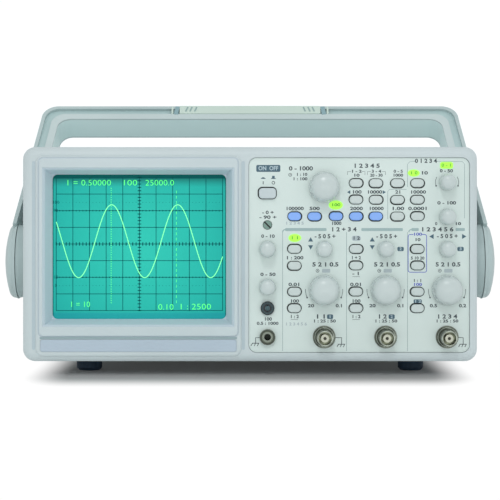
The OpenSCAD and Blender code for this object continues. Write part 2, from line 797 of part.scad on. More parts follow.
module rear_panel() {
    skirt_r = rear_corner - bezel_wall;
    color(bezel_colour) from_rim() difference() {
        translate([0, case_len, bezel_h / 2]) mirror([0, 1, 0])
            soft_plate(bezel_w, bezel_h, rear_corner, rear_edge, rear_depth);
        translate([0, 0, bezel_h / 2]) front_extrude(case_len - rear_depth - 1, case_len - rear_face)
            round_rect(bezel_w - 2 * bezel_wall, bezel_h - 2 * bezel_wall, skirt_r);
        front_extrude(case_len - rear_face - 1, case_len + 1) {
            translate([inlet_x, inlet_z]) square([inlet_w, inlet_h], center = true);
            translate([serial_x, serial_z]) square([serial_w, serial_h], center = true);
            for (x = rear_socket_x) translate([x, rear_socket_z]) circle(bushing_hole(nut_r));
            for (i = [-4:4], s = [-1, 1]) translate([i * vent_pitch, bezel_h / 2 + s * 13])
                square([vent_w, 18], center = true);
        }
    }
}

// Mains inlet seen from behind: a shroud with three blades
module mains_inlet() {
    well_w = 24;
    well_h = 16.4;
    well_deep = 15;
    body_len = 22;
    flange_len = 2;
    blade = [2, 11, 4];
    difference() {
        union() {
            translate([0, -body_len / 2, 0])
                cube([inlet_w - 2 * panel_fit, body_len, inlet_h - 2 * panel_fit], center = true);
            translate([0, flange_len / 2, 0])
                cube([inlet_w + 2 * inlet_flange, flange_len, inlet_h + 2 * inlet_flange], center = true);
        }
        translate([0, flange_len - well_deep / 2 + eps, 0]) cube([well_w, well_deep, well_h], center = true);
    }
    for (p = [[-7, -2], [7, -2], [0, 4]])
        translate([p[0], flange_len - well_deep + blade[1] / 2 - eps, p[1]]) cube(blade, center = true);
}

module rear_sockets() {
    shell_len = 6;
    shell_deep = 8;
    shell = [serial_w - 2 * panel_fit, shell_len + shell_deep, serial_h - 2 * panel_fit];
    color(metal_colour) from_rim() translate([0, case_len, 0]) {
        translate([inlet_x, 0, inlet_z]) mains_inlet();
        translate([serial_x, 0, serial_z]) {
            translate([0, (shell_len - shell_deep) / 2, 0]) cube(shell, center = true);
            translate([0, 0.5, 0]) cube([serial_w + 8, 1, serial_h + 2], center = true);
        }
        for (x = rear_socket_x) translate([x, 0, rear_socket_z]) rotate([0, 0, 180]) bayonet_socket(rear_face);
    }
}

module case_feet() {
    foot_top = cover_in;
    foot_edge = 1.6;
    foot_tall = foot_h + foot_top;
    rear_foot_y = case_len - foot_y - rear_depth;
    stem = [15, 11];
    pad = [22, 17];
    pad_t = 6;
    pad_corner = 4;
    stand_x = bezel_w / 2 - pad[0] / 2 - 3;
    color(rubber_colour) from_rim() {
        for (sx = [-1, 1], y = [foot_y, rear_foot_y]) translate([sx * foot_x, y, -foot_h]) {
            cylinder(r1 = foot_r - foot_edge, r2 = foot_r, h = foot_edge);
            translate([0, 0, foot_edge]) cylinder(r = foot_r, h = foot_tall - foot_edge);
        }
        for (sx = [-1, 1], sz = [-1, 1])
            translate([sx * stand_x, 0, bezel_h / 2 + sz * (bezel_h / 2 - pad[1] / 2 - 3)]) {
                front_extrude(case_len, case_len + stand_len - pad_t + eps) round_rect(stem[0], stem[1], 3);
                front_extrude(case_len + stand_len - pad_t, case_len + stand_len)
                    round_rect(pad[0], pad[1], pad_corner);
            }
    }
}

// Both sides of the pivot line, seen along it from the middle outwards
module both_sides() {
    translate([0, pivot_back, pivot_up]) for (s = [0, 1]) mirror([s, 0, 0]) rotate([0, 90, 0]) children();
}

module handle_bosses() {
    seat_x = cover_w / 2;
    color(handle_colour) from_rim() both_sides() {
        translate([0, 0, seat_x]) cylinder(r1 = boss_foot, r2 = boss_top, h = boss_t);
        translate([0, 0, chassis_w / 2]) cylinder(r = spigot_r, h = seat_x - chassis_w / 2 + eps);
        translate([0, 0, seat_x + boss_t - eps]) cylinder(r = stub_r, h = stub_len);
    }
}

// Outline of the bail in its own plane, inset from its outer face, open downwards
module bail_outline(inset, corner, low) {
    top = bail_reach - inset;
    mid = top - corner;
    mid_x = strap_x - bail_flare * mid - (inset + corner) / flare_cos;
    low_x = strap_x - bail_flare * low - inset / flare_cos;
    side = [mid_x + corner * flare_cos, mid + corner * flare_sin];
    polygon([[-low_x, low], [low_x, low], side, [mid_x, top], [-mid_x, top], [-side[0], side[1]]]);
    for (s = [-1, 1]) translate([s * mid_x, mid]) circle(corner);
}

// Side view of the bail, as depth and height: round at the hub, tapering to the top bar
module bail_side(top_w) {
    bar_low = bail_reach - bail_t;
    reach = norm([top_w / 2, bar_low]);
    touch = atan2(top_w / 2, bar_low) + acos(hub_r / reach);
    tx = hub_r * sin(touch);
    tz = hub_r * cos(touch);
    top = bail_reach + 1;
    circle(hub_r);
    polygon([
        [-tx, tz], [tx, tz], [top_w / 2, bar_low], [top_w / 2, top], [-top_w / 2, top], [-top_w / 2, bar_low]
    ]);
}

module at_bail() {
    translate([0, pivot_back, pivot_up]) rotate([-bail_lean, 0, 0]) children();
}

// Domed hub on the pivot line, with a round rim and a blind bore
module bail_hub() {
    taper = 0.6;
    side_t = 1.6;
    shoulder = 3.5;
    inner = hub_r - taper - shoulder;
    dome_t = hub_rim + hub_dome - side_t;
    dome_r = (dome_t * dome_t + inner * inner - shoulder * shoulder) / (2 * (dome_t - shoulder));
    difference() {
        translate([0, 0, hub_in]) rotate_extrude()
            knob_profile(hub_r, taper, hub_rim + hub_dome, shoulder, dome_r);
        translate([0, 0, hub_in - 1]) cylinder(r = stub_r + turn_clear, h = stub_len + 1.4);
    }
}

module handle_bail() {
    strap_low = hub_r / 2;
    strap_corner = bail_corner - strap_t + 1;
    color(handle_colour) from_rim() {
        difference() {
            at_bail() intersection() {
                front_extrude(-hub_r - 1, hub_r + 1) difference() {
                    bail_outline(0, bail_corner, strap_low);
                    bail_outline(strap_t, strap_corner, strap_low - 1);
                }
                side_extrude(bail_span + 2) bail_side(bail_w);
            }
            both_sides() cylinder(r = hub_r + hub_gap, h = hub_in);
        }
        both_sides() bail_hub();
    }
}

module handle_grip() {
    strap_corner = bail_corner - strap_t + 1;
    ridge_in = bail_t - ridge_t;
    ridge_corner = (strap_corner + grip_corner) / 2;
    low = grip_low / 2;
    foot_z = bezel_h - cover_in + swing_gap;
    color(handle_colour) from_rim() difference() {
        at_bail() difference() {
            union() {
                intersection() {
                    front_extrude(-hub_r, hub_r) difference() {
                        bail_outline(strap_t, strap_corner, low);
                        bail_outline(bail_t, grip_corner, low - 1);
                    }
                    side_extrude(bail_span) bail_side(bail_w - 2 * web_set);
                }
                intersection() {
                    front_extrude(-hub_r, hub_r) difference() {
                        bail_outline(ridge_in, ridge_corner, low);
                        bail_outline(bail_t, grip_corner, low - 1);
                    }
                    side_extrude(bail_span) bail_side(bail_w);
                }
            }
            rotate([0, 90, 0]) cylinder(r = grip_low, h = bail_span, center = true, $fn = 128);
        }
        translate([-bail_span, 0, 0]) cube([2 * bail_span, case_len, foot_z]);
    }
}

// Key cap with a flange behind the panel and a stem to its switch
module key(x, z, shade) {
    stem_r = 1.5;
    flange_y = panel_back + flange_gap;
    stem_y = board_y - switch_len - plunger_len - key_travel - stop_gap;
    color(shade) from_rim() translate([x, 0, z]) {
        translate([0, panel_front - key_proud, 0])
            soft_plate(key_w, key_h, key_h / 2 - eps, key_edge, flange_y - panel_front + key_proud + eps);
        front_extrude(flange_y, flange_y + flange_t) long_hole(key_w + 2 * flange_w, key_h + 2 * flange_w);
        front_rod(0, 0, stem_r, flange_y, stem_y);
    }
}

module power_button() {
    flange_y = panel_back + power_out + flange_gap;
    stem_y = board_y - power_switch_len - power_in - stop_gap;
    color(key_colour) from_rim() translate([left_x, 0, power_z]) {
        translate([0, panel_front - power_proud, 0])
            soft_plate(power_w, power_h, power_corner, key_edge, flange_y - panel_front + power_proud + eps);
        front_extrude(flange_y, stem_y)
            round_rect(power_w + 2 * flange_w, power_h + 2 * flange_w, power_corner);
    }
}

// Profile of a knob as radius and forward reach: tapered, with a round shoulder that runs into a dome
module knob_profile(base_r, taper, length, shoulder, dome_r) {
    top_r = base_r - taper;
    inner = top_r - shoulder;
    drop = sqrt(pow(dome_r - shoulder, 2) - inner * inner);
    rise = length - dome_r + drop;
    low = rise - drop;
    far = 2 * dome_r / (dome_r - shoulder);
    polygon([[0, 0], [base_r, 0], [top_r, rise], [0, rise]]);
    intersection() {
        translate([inner, rise]) circle(shoulder);
        square([base_r, length]);
    }
    intersection() {
        translate([0, low]) circle(dome_r, $fn = 128);
        polygon([[0, max(low, 0)], [inner * max(-low, 0) / drop, max(low, 0)],
            [far * inner, low + far * drop], [0, low + far * drop]]);
    }
}

module small_knob(x, z) {
    taper = 0.4;
    shoulder = 2.4;
    dome_r = 8;
    color(knob_colour) from_rim() {
        front_turn(x, panel_front - knob_gap, z) knob_profile(knob_r, taper, knob_len, shoulder, dome_r);
        front_rod(x, z, shaft_r, panel_front - knob_gap - 1, shaft_end);
    }
}

// Large dial with shallow finger hollows, bored for its shaft
module large_dial(x, z) {
    taper = 0.9;
    shoulder = 4.2;
    dome_r = 17;
    hollow_r = 2.4;
    hollow_deep = 0.25;
    bore_len = dial_len - 4;
    hollow_at = dial_r - taper + hollow_r - hollow_deep;
    hollow_low = 3;
    back = panel_front - dial_gap;
    color(knob_colour) from_rim() difference() {
        front_turn(x, back, z) knob_profile(dial_r, taper, dial_len, shoulder, dome_r);
        for (i = [0:dial_hollows - 1])
            translate([x, 0, z]) rotate([0, 360 * i / dial_hollows, 0])
                front_rod(hollow_at, 0, hollow_r, back - dial_len - 1, back - hollow_low);
        front_rod(x, z, shaft_r + turn_clear, back - bore_len, back + 1);
    }
}

module dial_shaft(x, z) {
    tip = panel_front - dial_gap - (dial_len - 4) + stop_gap;
    color(metal_colour) from_rim() front_rod(x, z, shaft_r, tip, shaft_end);
}

module rotation_trimmer() {
    slot_w = 0.9;
    slot_deep = 1.2;
    slot_turn = 45;
    head_y = panel_front + 0.2;
    color(metal_colour) from_rim() translate([left_x, 0, trimmer_z]) difference() {
        front_rod(0, 0, trimmer_r, head_y, board_y + board_t);
        rotate([0, slot_turn, 0]) translate([0, head_y, 0])
            cube([2 * trimmer_r + 1, 2 * slot_deep, slot_w], center = true);
    }
}

function key_shade(name) = search([name], blue_keys) != [[]] ? blue_colour : key_colour;
blue_keys = ["lower_key_1", "lower_key_2", "lower_key_3", "lower_key_4", "lower_key_5"];

front_bezel();
screen_surround();
screen_filter();
crt_tube();
control_panel();
front_sockets();
electronics();
chassis();
upper_cover();
lower_cover();
rear_panel();
rear_sockets();
case_feet();
handle_bosses();
handle_bail();
handle_grip();
power_button();
rotation_trimmer();
for (k = keys) key(k[1], k[2], key_shade(k[0]));
for (k = knobs) small_knob(k[1], k[2]);
for (d = dials) large_dial(d[1], d[2]);
for (d = dials) dial_shaft(d[1], d[2]);
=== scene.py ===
"""Looks of a bench oscilloscope: finishes, printed scales, screen trace, plates and small fixings.

Lengths are in metres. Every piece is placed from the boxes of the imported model.
"""

import json
import math

import bpy
from mathutils import Matrix, Vector


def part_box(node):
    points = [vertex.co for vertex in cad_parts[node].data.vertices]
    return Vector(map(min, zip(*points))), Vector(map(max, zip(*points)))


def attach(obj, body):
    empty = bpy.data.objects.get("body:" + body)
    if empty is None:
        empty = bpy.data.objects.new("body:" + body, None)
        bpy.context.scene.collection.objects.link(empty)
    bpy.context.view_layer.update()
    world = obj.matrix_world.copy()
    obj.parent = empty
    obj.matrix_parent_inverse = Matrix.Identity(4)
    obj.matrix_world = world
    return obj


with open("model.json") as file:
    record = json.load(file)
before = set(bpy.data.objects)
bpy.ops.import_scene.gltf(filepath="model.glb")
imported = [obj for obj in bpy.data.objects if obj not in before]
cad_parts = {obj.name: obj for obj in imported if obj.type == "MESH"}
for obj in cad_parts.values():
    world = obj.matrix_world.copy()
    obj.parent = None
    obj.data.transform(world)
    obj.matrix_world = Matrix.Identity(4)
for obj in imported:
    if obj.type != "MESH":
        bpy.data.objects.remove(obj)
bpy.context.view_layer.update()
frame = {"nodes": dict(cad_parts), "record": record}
bpy.ops.object.select_all(action="DESELECT")

MM = 0.001
nodes = frame["nodes"]
panel_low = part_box("control_panel")[0]
bezel_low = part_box("front_bezel")[0]
panel_y = panel_low.y
rim_y = panel_y - 1 * MM
base_z = bezel_low.z

# View: distance in front of the rim, height above the front frame's lower edge
VIEW_DISTANCE = 1.1
VIEW_HEIGHT = 0.0951
VIEW_LENS = 130.6
VIEW_SENSOR = 36
VIEW_SHIFT = -0.09


def linear(red, green, blue):
    """Linear colour from eight-bit values."""

    def channel(value):
        value = value / 255
        return value / 12.92 if value <= 0.04045 else ((value + 0.055) / 1.055) ** 2.4

    return (channel(red), channel(green), channel(blue), 1.0)


# Bail: its lean, the reach of the grip's inner face, and the slopes and insets of its arms
BAIL_LEAN = math.radians(42)
GRIP_INNER = 118.2 * MM
ARM_TAPER = 0.136
ARM_FLARE = 0.083
ARM_INNER = 138.9 * MM
RIDGE_FRONT = 8 * MM
FACE_MARGIN = 0.4 * MM

# Front sockets: radii over which their rings are shared out, and the roughness of metal and cap
SOCKET_REACH = 7 * MM
JACK_REACH = 5 * MM
METAL_GLOSS = 0.3
CAP_GLOSS = 0.1

# Finishes: scales of the drift of colour and of turning marks, which are drawn out along the depth
CLOUD_SCALE = 14
MARK_SCALE = 120
MARK_STRETCH = (1, 40, 1)


def new_finish(name):
    """Material with its tree and its main shader."""
    material = bpy.data.materials.new(name)
    material.use_nodes = True
    return material, material.node_tree, material.node_tree.nodes["Principled BSDF"]


def fill(tree, socket, value):
    """Links an input to another node, or sets its value."""
    if isinstance(value, bpy.types.NodeSocket):
        tree.links.new(value, socket)
    else:
        socket.default_value = value


def feed(tree, node, inputs):
    """Fills the inputs of a node by their names."""
    for name, value in inputs.items():
        fill(tree, node.inputs[name], value)


def ramp(tree, source, stops, interpolation="LINEAR"):
    """Colour by a value: each stop has its place and its colour."""
    node = tree.nodes.new("ShaderNodeValToRGB")
    node.color_ramp.interpolation = interpolation
    elements = node.color_ramp.elements
    for i, (place, colour) in enumerate(stops):
        element = elements[i] if i < 2 else elements.new(place)
        element.position = place
        element.color = colour
    feed(tree, node, {"Fac": source})
    return node.outputs["Color"]


def noise(tree, vector, scale, detail=2):
    node = tree.nodes.new("ShaderNodeTexNoise")
    feed(tree, node, {"Vector": vector, "Scale": scale, "Detail": detail})
    return node.outputs["Fac"]


def computed(tree, kind, operation, values):
    """Math or vector node on inputs and fixed values."""
    node = tree.nodes.new(kind)
    node.operation = operation
    for socket, value in zip(node.inputs, values):
        fill(tree, socket, value)
    return node


def arithmetic(tree, operation, *values):
    return computed(tree, "ShaderNodeMath", operation, values).outputs["Value"]


def vector_step(tree, operation, *values):
    node = computed(tree, "ShaderNodeVectorMath", operation, values)
    return node.outputs["Value" if operation in ("LENGTH", "DISTANCE") else "Vector"]


def object_coords(tree):
    return tree.nodes.new("ShaderNodeTexCoord").outputs["Object"]


def axes(tree, vector):
    """The X, Y and Z of a vector."""
    node = tree.nodes.new("ShaderNodeSeparateXYZ")
    feed(tree, node, {"Vector": vector})
    return node.outputs["X"], node.outputs["Y"], node.outputs["Z"]


def opened(material):
    """A finish's tree, its main shader and the colour that it has so far."""
    tree = material.node_tree
    shader = tree.nodes["Principled BSDF"]
    return tree, shader, shader.inputs["Base Color"].links[0].from_socket


def shade(colour, share):
    """The colour, darker or lighter by a share."""
    return tuple(min(1.0, c * (1 + share)) for c in colour[:3]) + (1.0,)


def grained(name, colour, roughness, scale=900, depth=0.03 * MM, drift=0.03, metallic=0.0):
    """Moulded or painted finish with a fine grain and a slight drift of colour."""
    material, tree, shader = new_finish(name)
    coords = object_coords(tree)
    cloud = noise(tree, coords, CLOUD_SCALE)
    tint = ramp(tree, cloud, ((0.3, shade(colour, -drift)), (0.7, shade(colour, drift))))
    bump = tree.nodes.new("ShaderNodeBump")
    feed(tree, bump, {"Height": noise(tree, coords, scale, 3), "Distance": depth, "Strength": 0.5})
    feed(tree, shader, {
        "Base Color": tint, "Normal": bump.outputs["Normal"], "Roughness": roughness, "Metallic": metallic,
    })
    return material


def turned_metal(name, colour, roughness):
    """Plated metal with fine turning marks."""
    material, tree, shader = new_finish(name)
    stretch = tree.nodes.new("ShaderNodeMapping")
    feed(tree, stretch, {"Vector": object_coords(tree), "Scale": MARK_STRETCH})
    marks = noise(tree, stretch.outputs["Vector"], MARK_SCALE)
    tint = ramp(tree, marks, ((0.3, shade(colour, -0.12)), (0.7, shade(colour, 0.12))))
    feed(tree, shader, {"Base Color": tint, "Metallic": 1.0, "Roughness": roughness})
    return material


def beside_axis(tree, coords, x, z, pitch=0.0):
    """Steps right of and above a line to the front at (x, z), which repeats to the right by the pitch."""
    right, _, up = axes(tree, vector_step(tree, "SUBTRACT", coords, (x, 0, z)))
    if pitch:
        right = arithmetic(tree, "WRAP", right, pitch / 2, -pitch / 2)
    return right, up


def rings(tree, coords, spot, outer, bands):
    """Colour by distance from a line: each band has its inner share of the outer radius and its colour."""
    right, up = beside_axis(tree, coords, *spot)
    squares = [arithmetic(tree, "MULTIPLY", side, side) for side in (right, up)]
    reach = arithmetic(tree, "SQRT", arithmetic(tree, "ADD", *squares))
    return ramp(tree, arithmetic(tree, "DIVIDE", reach, outer), bands, "CONSTANT")


def mixed(tree, share, first, second, blend="MIX"):
    """Colour between two others, or a blend of both."""
    node = tree.nodes.new("ShaderNodeMix")
    node.data_type = "RGBA"
    node.blend_type = blend
    feed(tree, node, {"Factor": share, "A": first, "B": second})
    return node.outputs["Result"]


def multiplied(tree, first, second):
    return mixed(tree, 1.0, first, second, "MULTIPLY")


def sheen_sectors(tree, coords, spot, tones):
    """Painted reflection: grey tones round a line to the front, as turned metal shows under soft lights."""
    right, up = beside_axis(tree, coords, *spot)
    turn = arithmetic(tree, "DIVIDE", arithmetic(tree, "ARCTAN2", up, right), 2 * math.pi)
    last = len(tones) - 1
    stops = [(i / last, (tone, tone, tone, 1)) for i, tone in enumerate(tones)]
    return ramp(tree, arithmetic(tree, "ADD", turn, 0.5), stops)


def front_metal(name, first, pitch, jack, terminal):
    """Nickel of the front sockets, dark round the earth jack, and the dark plastic of the terminal's cap;
    their rings and streaks of tone are painted reflections and painted shade.
    """
    material = turned_metal(name, linear(190, 188, 174), METAL_GLOSS)
    tree, shader, _ = opened(material)
    coords = object_coords(tree)
    bright, steel, olive = linear(182, 190, 178), linear(140, 147, 136), linear(102, 109, 98)
    dull, shadow, black = linear(86, 93, 82), linear(66, 71, 60), linear(42, 46, 42)
    # Rings of tone round each socket, the jack and the terminal: bright bands are painted reflections and
    # highlights, dark ones painted shade on the metal and in the bores
    socket_rings = rings(tree, coords, (*first, pitch), SOCKET_REACH, (
        (0.0, linear(148, 154, 130)), (0.565, bright), (0.64, steel), (0.69, dull), (0.76, olive),
        (0.8, bright), (0.86, shadow), (0.9, steel), (0.96, olive)))
    jack_rings = rings(tree, coords, jack, JACK_REACH, (
        (0.0, black), (0.41, linear(124, 131, 121)), (0.62, olive), (0.7, shadow), (0.78, linear(72, 77, 72)),
        (0.9, olive)))
    cap_sheen_rings = rings(tree, coords, terminal, JACK_REACH, (
        (0.0, linear(70, 98, 104)), (0.3, linear(6, 26, 34)), (0.5, linear(44, 72, 78)),
        (0.7, linear(8, 30, 36))))
    sheen_streaks = sheen_sectors(tree, coords, (*first, pitch), (0.75, 0.45, 0.9, 0.5, 1.0, 0.55, 0.9, 0.5, 0.75))
    across, _, up = axes(tree, coords)
    left = arithmetic(tree, "LESS_THAN", across, jack[0] + 8 * MM)
    high = arithmetic(tree, "GREATER_THAN", up, (jack[1] + terminal[1]) / 2)
    colour = mixed(tree, left, multiplied(tree, socket_rings, sheen_streaks), jack_rings)
    gloss = arithmetic(tree, "MULTIPLY", high, METAL_GLOSS - CAP_GLOSS)
    feed(tree, shader, {
        "Base Color": mixed(tree, high, colour, cap_sheen_rings),
        "Roughness": arithmetic(tree, "SUBTRACT", METAL_GLOSS, gloss),
        "Metallic": arithmetic(tree, "SUBTRACT", 1.0, high),
    })
    return material


def grip_finish(name, pivot, lean, web, ridge, lit_palm):
    """Grip whose web is darker than its ridge and its inner face, with painted light on the inner face, on a
    bail that leans back.

    The web is what lies behind the front of the ridge, away from the grip's inner face.
    """
    material = grained(name, ridge, 0.5)
    tree, shader, base = opened(material)
    turn = tree.nodes.new("ShaderNodeVectorRotate")
    turn.rotation_type = "X_AXIS"
    from_pivot = vector_step(tree, "SUBTRACT", object_coords(tree), pivot)
    feed(tree, turn, {"Vector": from_pivot, "Angle": lean})
    across, depth, reach = axes(tree, turn.outputs["Vector"])
    below_bar = arithmetic(tree, "MAXIMUM", arithmetic(tree, "SUBTRACT", GRIP_INNER, reach), 0.0)
    depth = arithmetic(tree, "ABSOLUTE", depth)
    depth = arithmetic(tree, "SUBTRACT", depth, arithmetic(tree, "MULTIPLY", below_bar, ARM_TAPER))
    front = arithmetic(tree, "GREATER_THAN", depth, RIDGE_FRONT)
    across = arithmetic(tree, "ABSOLUTE", across)
    across = arithmetic(tree, "ADD", across, arithmetic(tree, "MULTIPLY", reach, ARM_FLARE))
    in_bar = arithmetic(tree, "LESS_THAN", reach, GRIP_INNER + FACE_MARGIN)
    in_arm = arithmetic(tree, "LESS_THAN", across, ARM_INNER + FACE_MARGIN)
    inner = arithmetic(tree, "MULTIPLY", in_bar, in_arm)
    feed(tree, shader, {"Base Color": mixed(tree, front, mixed(tree, inner, web, lit_palm), base)})
    return material


def rear_metal(name, black_x):
    """Plated rear sockets, with the black mains inlet to the right of black_x."""
    material = turned_metal(name, linear(190, 190, 186), METAL_GLOSS)
    tree, shader, base = opened(material)
    black = arithmetic(tree, "GREATER_THAN", axes(tree, object_coords(tree))[0], black_x)
    feed(tree, shader, {
        "Base Color": mixed(tree, black, base, linear(30, 32, 34)),
        "Metallic": arithmetic(tree, "SUBTRACT", 1.0, black),
    })
    return material


def painted_shade_behind(material, y, colour):
    """Paints shade on a finish: another tone behind the depth y, as seen through a narrow gap or in a recess.
    """
    tree, shader, base = opened(material)
    behind = arithmetic(tree, "GREATER_THAN", axes(tree, object_coords(tree))[1], y)
    feed(tree, shader, {"Base Color": mixed(tree, behind, base, colour)})
    return material


def plain(name, colour, roughness=0.6, glow=0.0, shine=0.5):
    """Ink or plain plastic, with a glow where it is lit."""
    material, tree, shader = new_finish(name)
    feed(tree, shader, {"Base Color": colour, "Roughness": roughness, "Specular IOR Level": shine})
    if glow:
        feed(tree, shader, {"Emission Color": colour, "Emission Strength": glow})
    return material


def screen_finish(name, centre, reach, height):
    """Teal filter, lighter towards the middle of the screen, with a painted shadow along its top and darker
    along its bottom.
    """
    material, tree, shader = new_finish(name)
    coords = object_coords(tree)
    share = arithmetic(tree, "DIVIDE", vector_step(tree, "DISTANCE", coords, centre), reach)
    tint = ramp(tree, share, ((0.1, linear(38, 186, 168)), (1.0, linear(21, 168, 157))))
    up = axes(tree, coords)[2]
    # Painted shadow under the window's upper edge, and a darker band along the bottom
    for edge, way, dim, start, end in (
        (centre[2] + height / 2, -1, (0.45, 0.5, 0.5, 1), 2.4 * MM, 7.5 * MM),
        (centre[2] - height / 2, 1, (0.6, 0.8, 0.96, 1), 3.2 * MM, 4.6 * MM),
    ):
        inside = arithmetic(tree, "MULTIPLY", arithmetic(tree, "SUBTRACT", up, edge), way / end)
        tint = multiplied(tree, tint, ramp(tree, inside, ((start / end, dim), (1.0, (1, 1, 1, 1)))))
    feed(tree, shader, {
        "Base Color": tint, "Emission Color": tint, "Emission Strength": 0.2,
        "Roughness": 0.45, "Specular IOR Level": 0.2,
    })
    return material


SMOOTH = 0.01 * MM
# Painted shade in the gaps round the keys, on their parts behind the panel's face
GAP_SHADE = linear(88, 96, 98)
gap_y = panel_y + 0.5 * MM


def key_finish(name, colour, roughness):
    """Smooth plastic with painted shade in the gap behind the panel's face."""
    return painted_shade_behind(grained(name, colour, roughness, depth=SMOOTH), gap_y, GAP_SHADE)


FRAME = grained("frame plastic", linear(195, 207, 209), 0.5)
SURROUND = grained("surround plastic", linear(194, 207, 210), 0.5)
# Painted shade: a bluer tone on the walls of the screen's recess, behind the rim
painted_shade_behind(SURROUND, rim_y - 1.5 * MM, linear(192, 206, 215))
COVER = grained("cover paint", linear(176, 190, 191), 0.55, scale=1400, depth=0.06 * MM)
PANEL = grained("panel paint", linear(209, 223, 219), 0.5, depth=SMOOTH, drift=0.015)
# Painted shade on the walls of the panel's holes, behind its face
painted_shade_behind(PANEL, panel_y + 0.1 * MM, linear(104, 114, 116))
KNOB = grained("knob plastic", linear(192, 204, 203), 0.26, depth=SMOOTH)
KEY = key_finish("key plastic", linear(197, 209, 207), 0.4)
POWER = key_finish("switch plastic", linear(187, 200, 203), 0.3)
BLUE_KEY = key_finish("blue key plastic", linear(133, 175, 244), 0.4)
HANDLE = grained("handle plastic", linear(178, 195, 195), 0.5)
STRIP_END = grained("strip end plastic", linear(136, 168, 174), 0.5)
RIB = grained("rib plastic", linear(146, 172, 170), 0.5)
RUBBER = grained("foot rubber", linear(14, 42, 62), 0.7, scale=500, depth=0.1 * MM)
BOARD = grained("circuit board", linear(52, 108, 78), 0.45)
SHEET = grained("chassis sheet", linear(186, 190, 190), 0.4, metallic=1.0)
GLASS = grained("tube glass", linear(120, 140, 142), 0.15)
# Painted shade in the trimmer's slot and hole, behind the panel's face
TRIMMER = painted_shade_behind(grained("trimmer plastic", linear(116, 146, 136), 0.4), gap_y, linear(22, 34, 34))
STEEL = turned_metal("shaft steel", linear(180, 182, 182), 0.3)
PRINT = plain("panel print", linear(58, 70, 76))
# Painted shadow round the keys, in the gaps of their holes
KEY_SHADOW = plain("painted key shadow", linear(12, 20, 20))
TAG = plain("slate print", linear(70, 100, 114))
TAG_PRINT = plain("tag print", linear(176, 196, 204))
RULE = plain("panel rule", linear(150, 170, 170))
BAR = plain("group bar print", linear(156, 180, 180))
BLUE_PRINT = plain("blue print", linear(82, 94, 188))
PALE_PRINT = plain("pale print", linear(172, 186, 190))
LAMP = plain("lit lamp", linear(158, 240, 62), 0.3, 0.5)
# Painted glow of the lamps' light on the panel round them
LAMP_GLOW = plain("painted lamp glow", linear(188, 236, 168), 0.5, 0.15)
LAMP_PRINT = plain("lamp print", linear(92, 168, 44), 0.5)
TRACE = plain("screen trace", linear(128, 248, 160), 0.5, 0.6)
READOUT_GREEN = plain("screen readout", linear(92, 250, 112), 0.5, 0.6)
GRID = plain("screen grid", linear(0, 96, 98), shine=0.1)
# Painted shadow along the edges of the tube's face
SCREEN_EDGE_SHADOW = plain("screen edge shadow", linear(0, 100, 96), shine=0.1)
PLATE = grained("name plate", linear(176, 192, 205), 0.4, depth=SMOOTH)
# A little darker than the frame: painted shade along the step round the surround
SEAL = plain("seal plastic", linear(184, 198, 203))
BAND = plain("band tone", linear(177, 193, 199))
# Painted shadow under the screen surround
UNDER_SURROUND_SHADOW = plain("painted surround shadow", linear(146, 167, 171))
STRIP = grained("handle strip", linear(199, 217, 207), 0.4, depth=SMOOTH)
INSULATOR = plain("socket insulator", linear(200, 202, 184), 0.4)
# Dark as painted shade: the contacts stand for their hollow ends, which lie in shade
CONTACT_SHADE = plain("painted contact shade", linear(44, 44, 26), 0.5)
# Painted shade of the screws' cross recesses
CROSS_SHADE = plain("painted cross shade", linear(24, 26, 27), 0.5)
SCREW = turned_metal("screw steel", linear(170, 172, 170), 0.3)


# Modelling helpers


def active():
    return bpy.context.object


def place_applied(obj):
    """Moves the object's place, turn and size into its mesh."""
    for other in bpy.context.selected_objects:
        other.select_set(False)
    obj.select_set(True)
    bpy.context.view_layer.objects.active = obj
    bpy.ops.object.transform_apply(location=True, rotation=True, scale=True)
    return obj


def joined(pieces, name, finish, body):
    """One object from several, riding on a body of the model."""
    bpy.ops.object.select_all(action="DESELECT")
    for piece in pieces:
        piece.select_set(True)
    bpy.context.view_layer.objects.active = pieces[0]
    if len(pieces) > 1:
        bpy.ops.object.join()
    obj = active()
    obj.name = name
    obj.data.name = name
    obj.data.materials.clear()
    obj.data.materials.append(finish)
    bpy.ops.object.shade_smooth_by_angle(angle=math.radians(35))
    bpy.ops.object.select_all(action="DESELECT")
    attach(obj, body)
    return obj


# Thickness of ink and of thin plates
INK = 0.04 * MM


def thicken(thick):
    """Gives the flat mesh that is open a thickness, and closes it."""
    bpy.ops.mesh.select_all(action="SELECT")
    bpy.ops.mesh.extrude_region_move(TRANSFORM_OT_translate={"value": (0, 0, thick)})
    bpy.ops.mesh.select_all(action="SELECT")
    bpy.ops.mesh.remove_doubles(threshold=1e-7)
    bpy.ops.mesh.normals_make_consistent(inside=False)
    bpy.ops.object.mode_set(mode="OBJECT")


def face_front(obj, x, y, z):
    """Turns a piece made on the ground to the front and puts it in its place."""
    obj.rotation_euler = (math.pi / 2, 0, 0)
    obj.location = (x, y, z)
    return place_applied(obj)


def soft_outline(width, height, corner, segments):
    """Flat plate with round corners, left open with everything selected."""
    bpy.ops.mesh.primitive_plane_add(size=1)
    obj = active()
    obj.scale = (width, height, 1)
    bpy.ops.object.transform_apply(location=False, rotation=False, scale=True)
    bpy.ops.object.mode_set(mode="EDIT")
    bpy.ops.mesh.select_all(action="SELECT")
    bpy.ops.mesh.bevel(offset=corner, segments=segments, affect="VERTICES")
    bpy.ops.mesh.select_all(action="SELECT")
    return obj


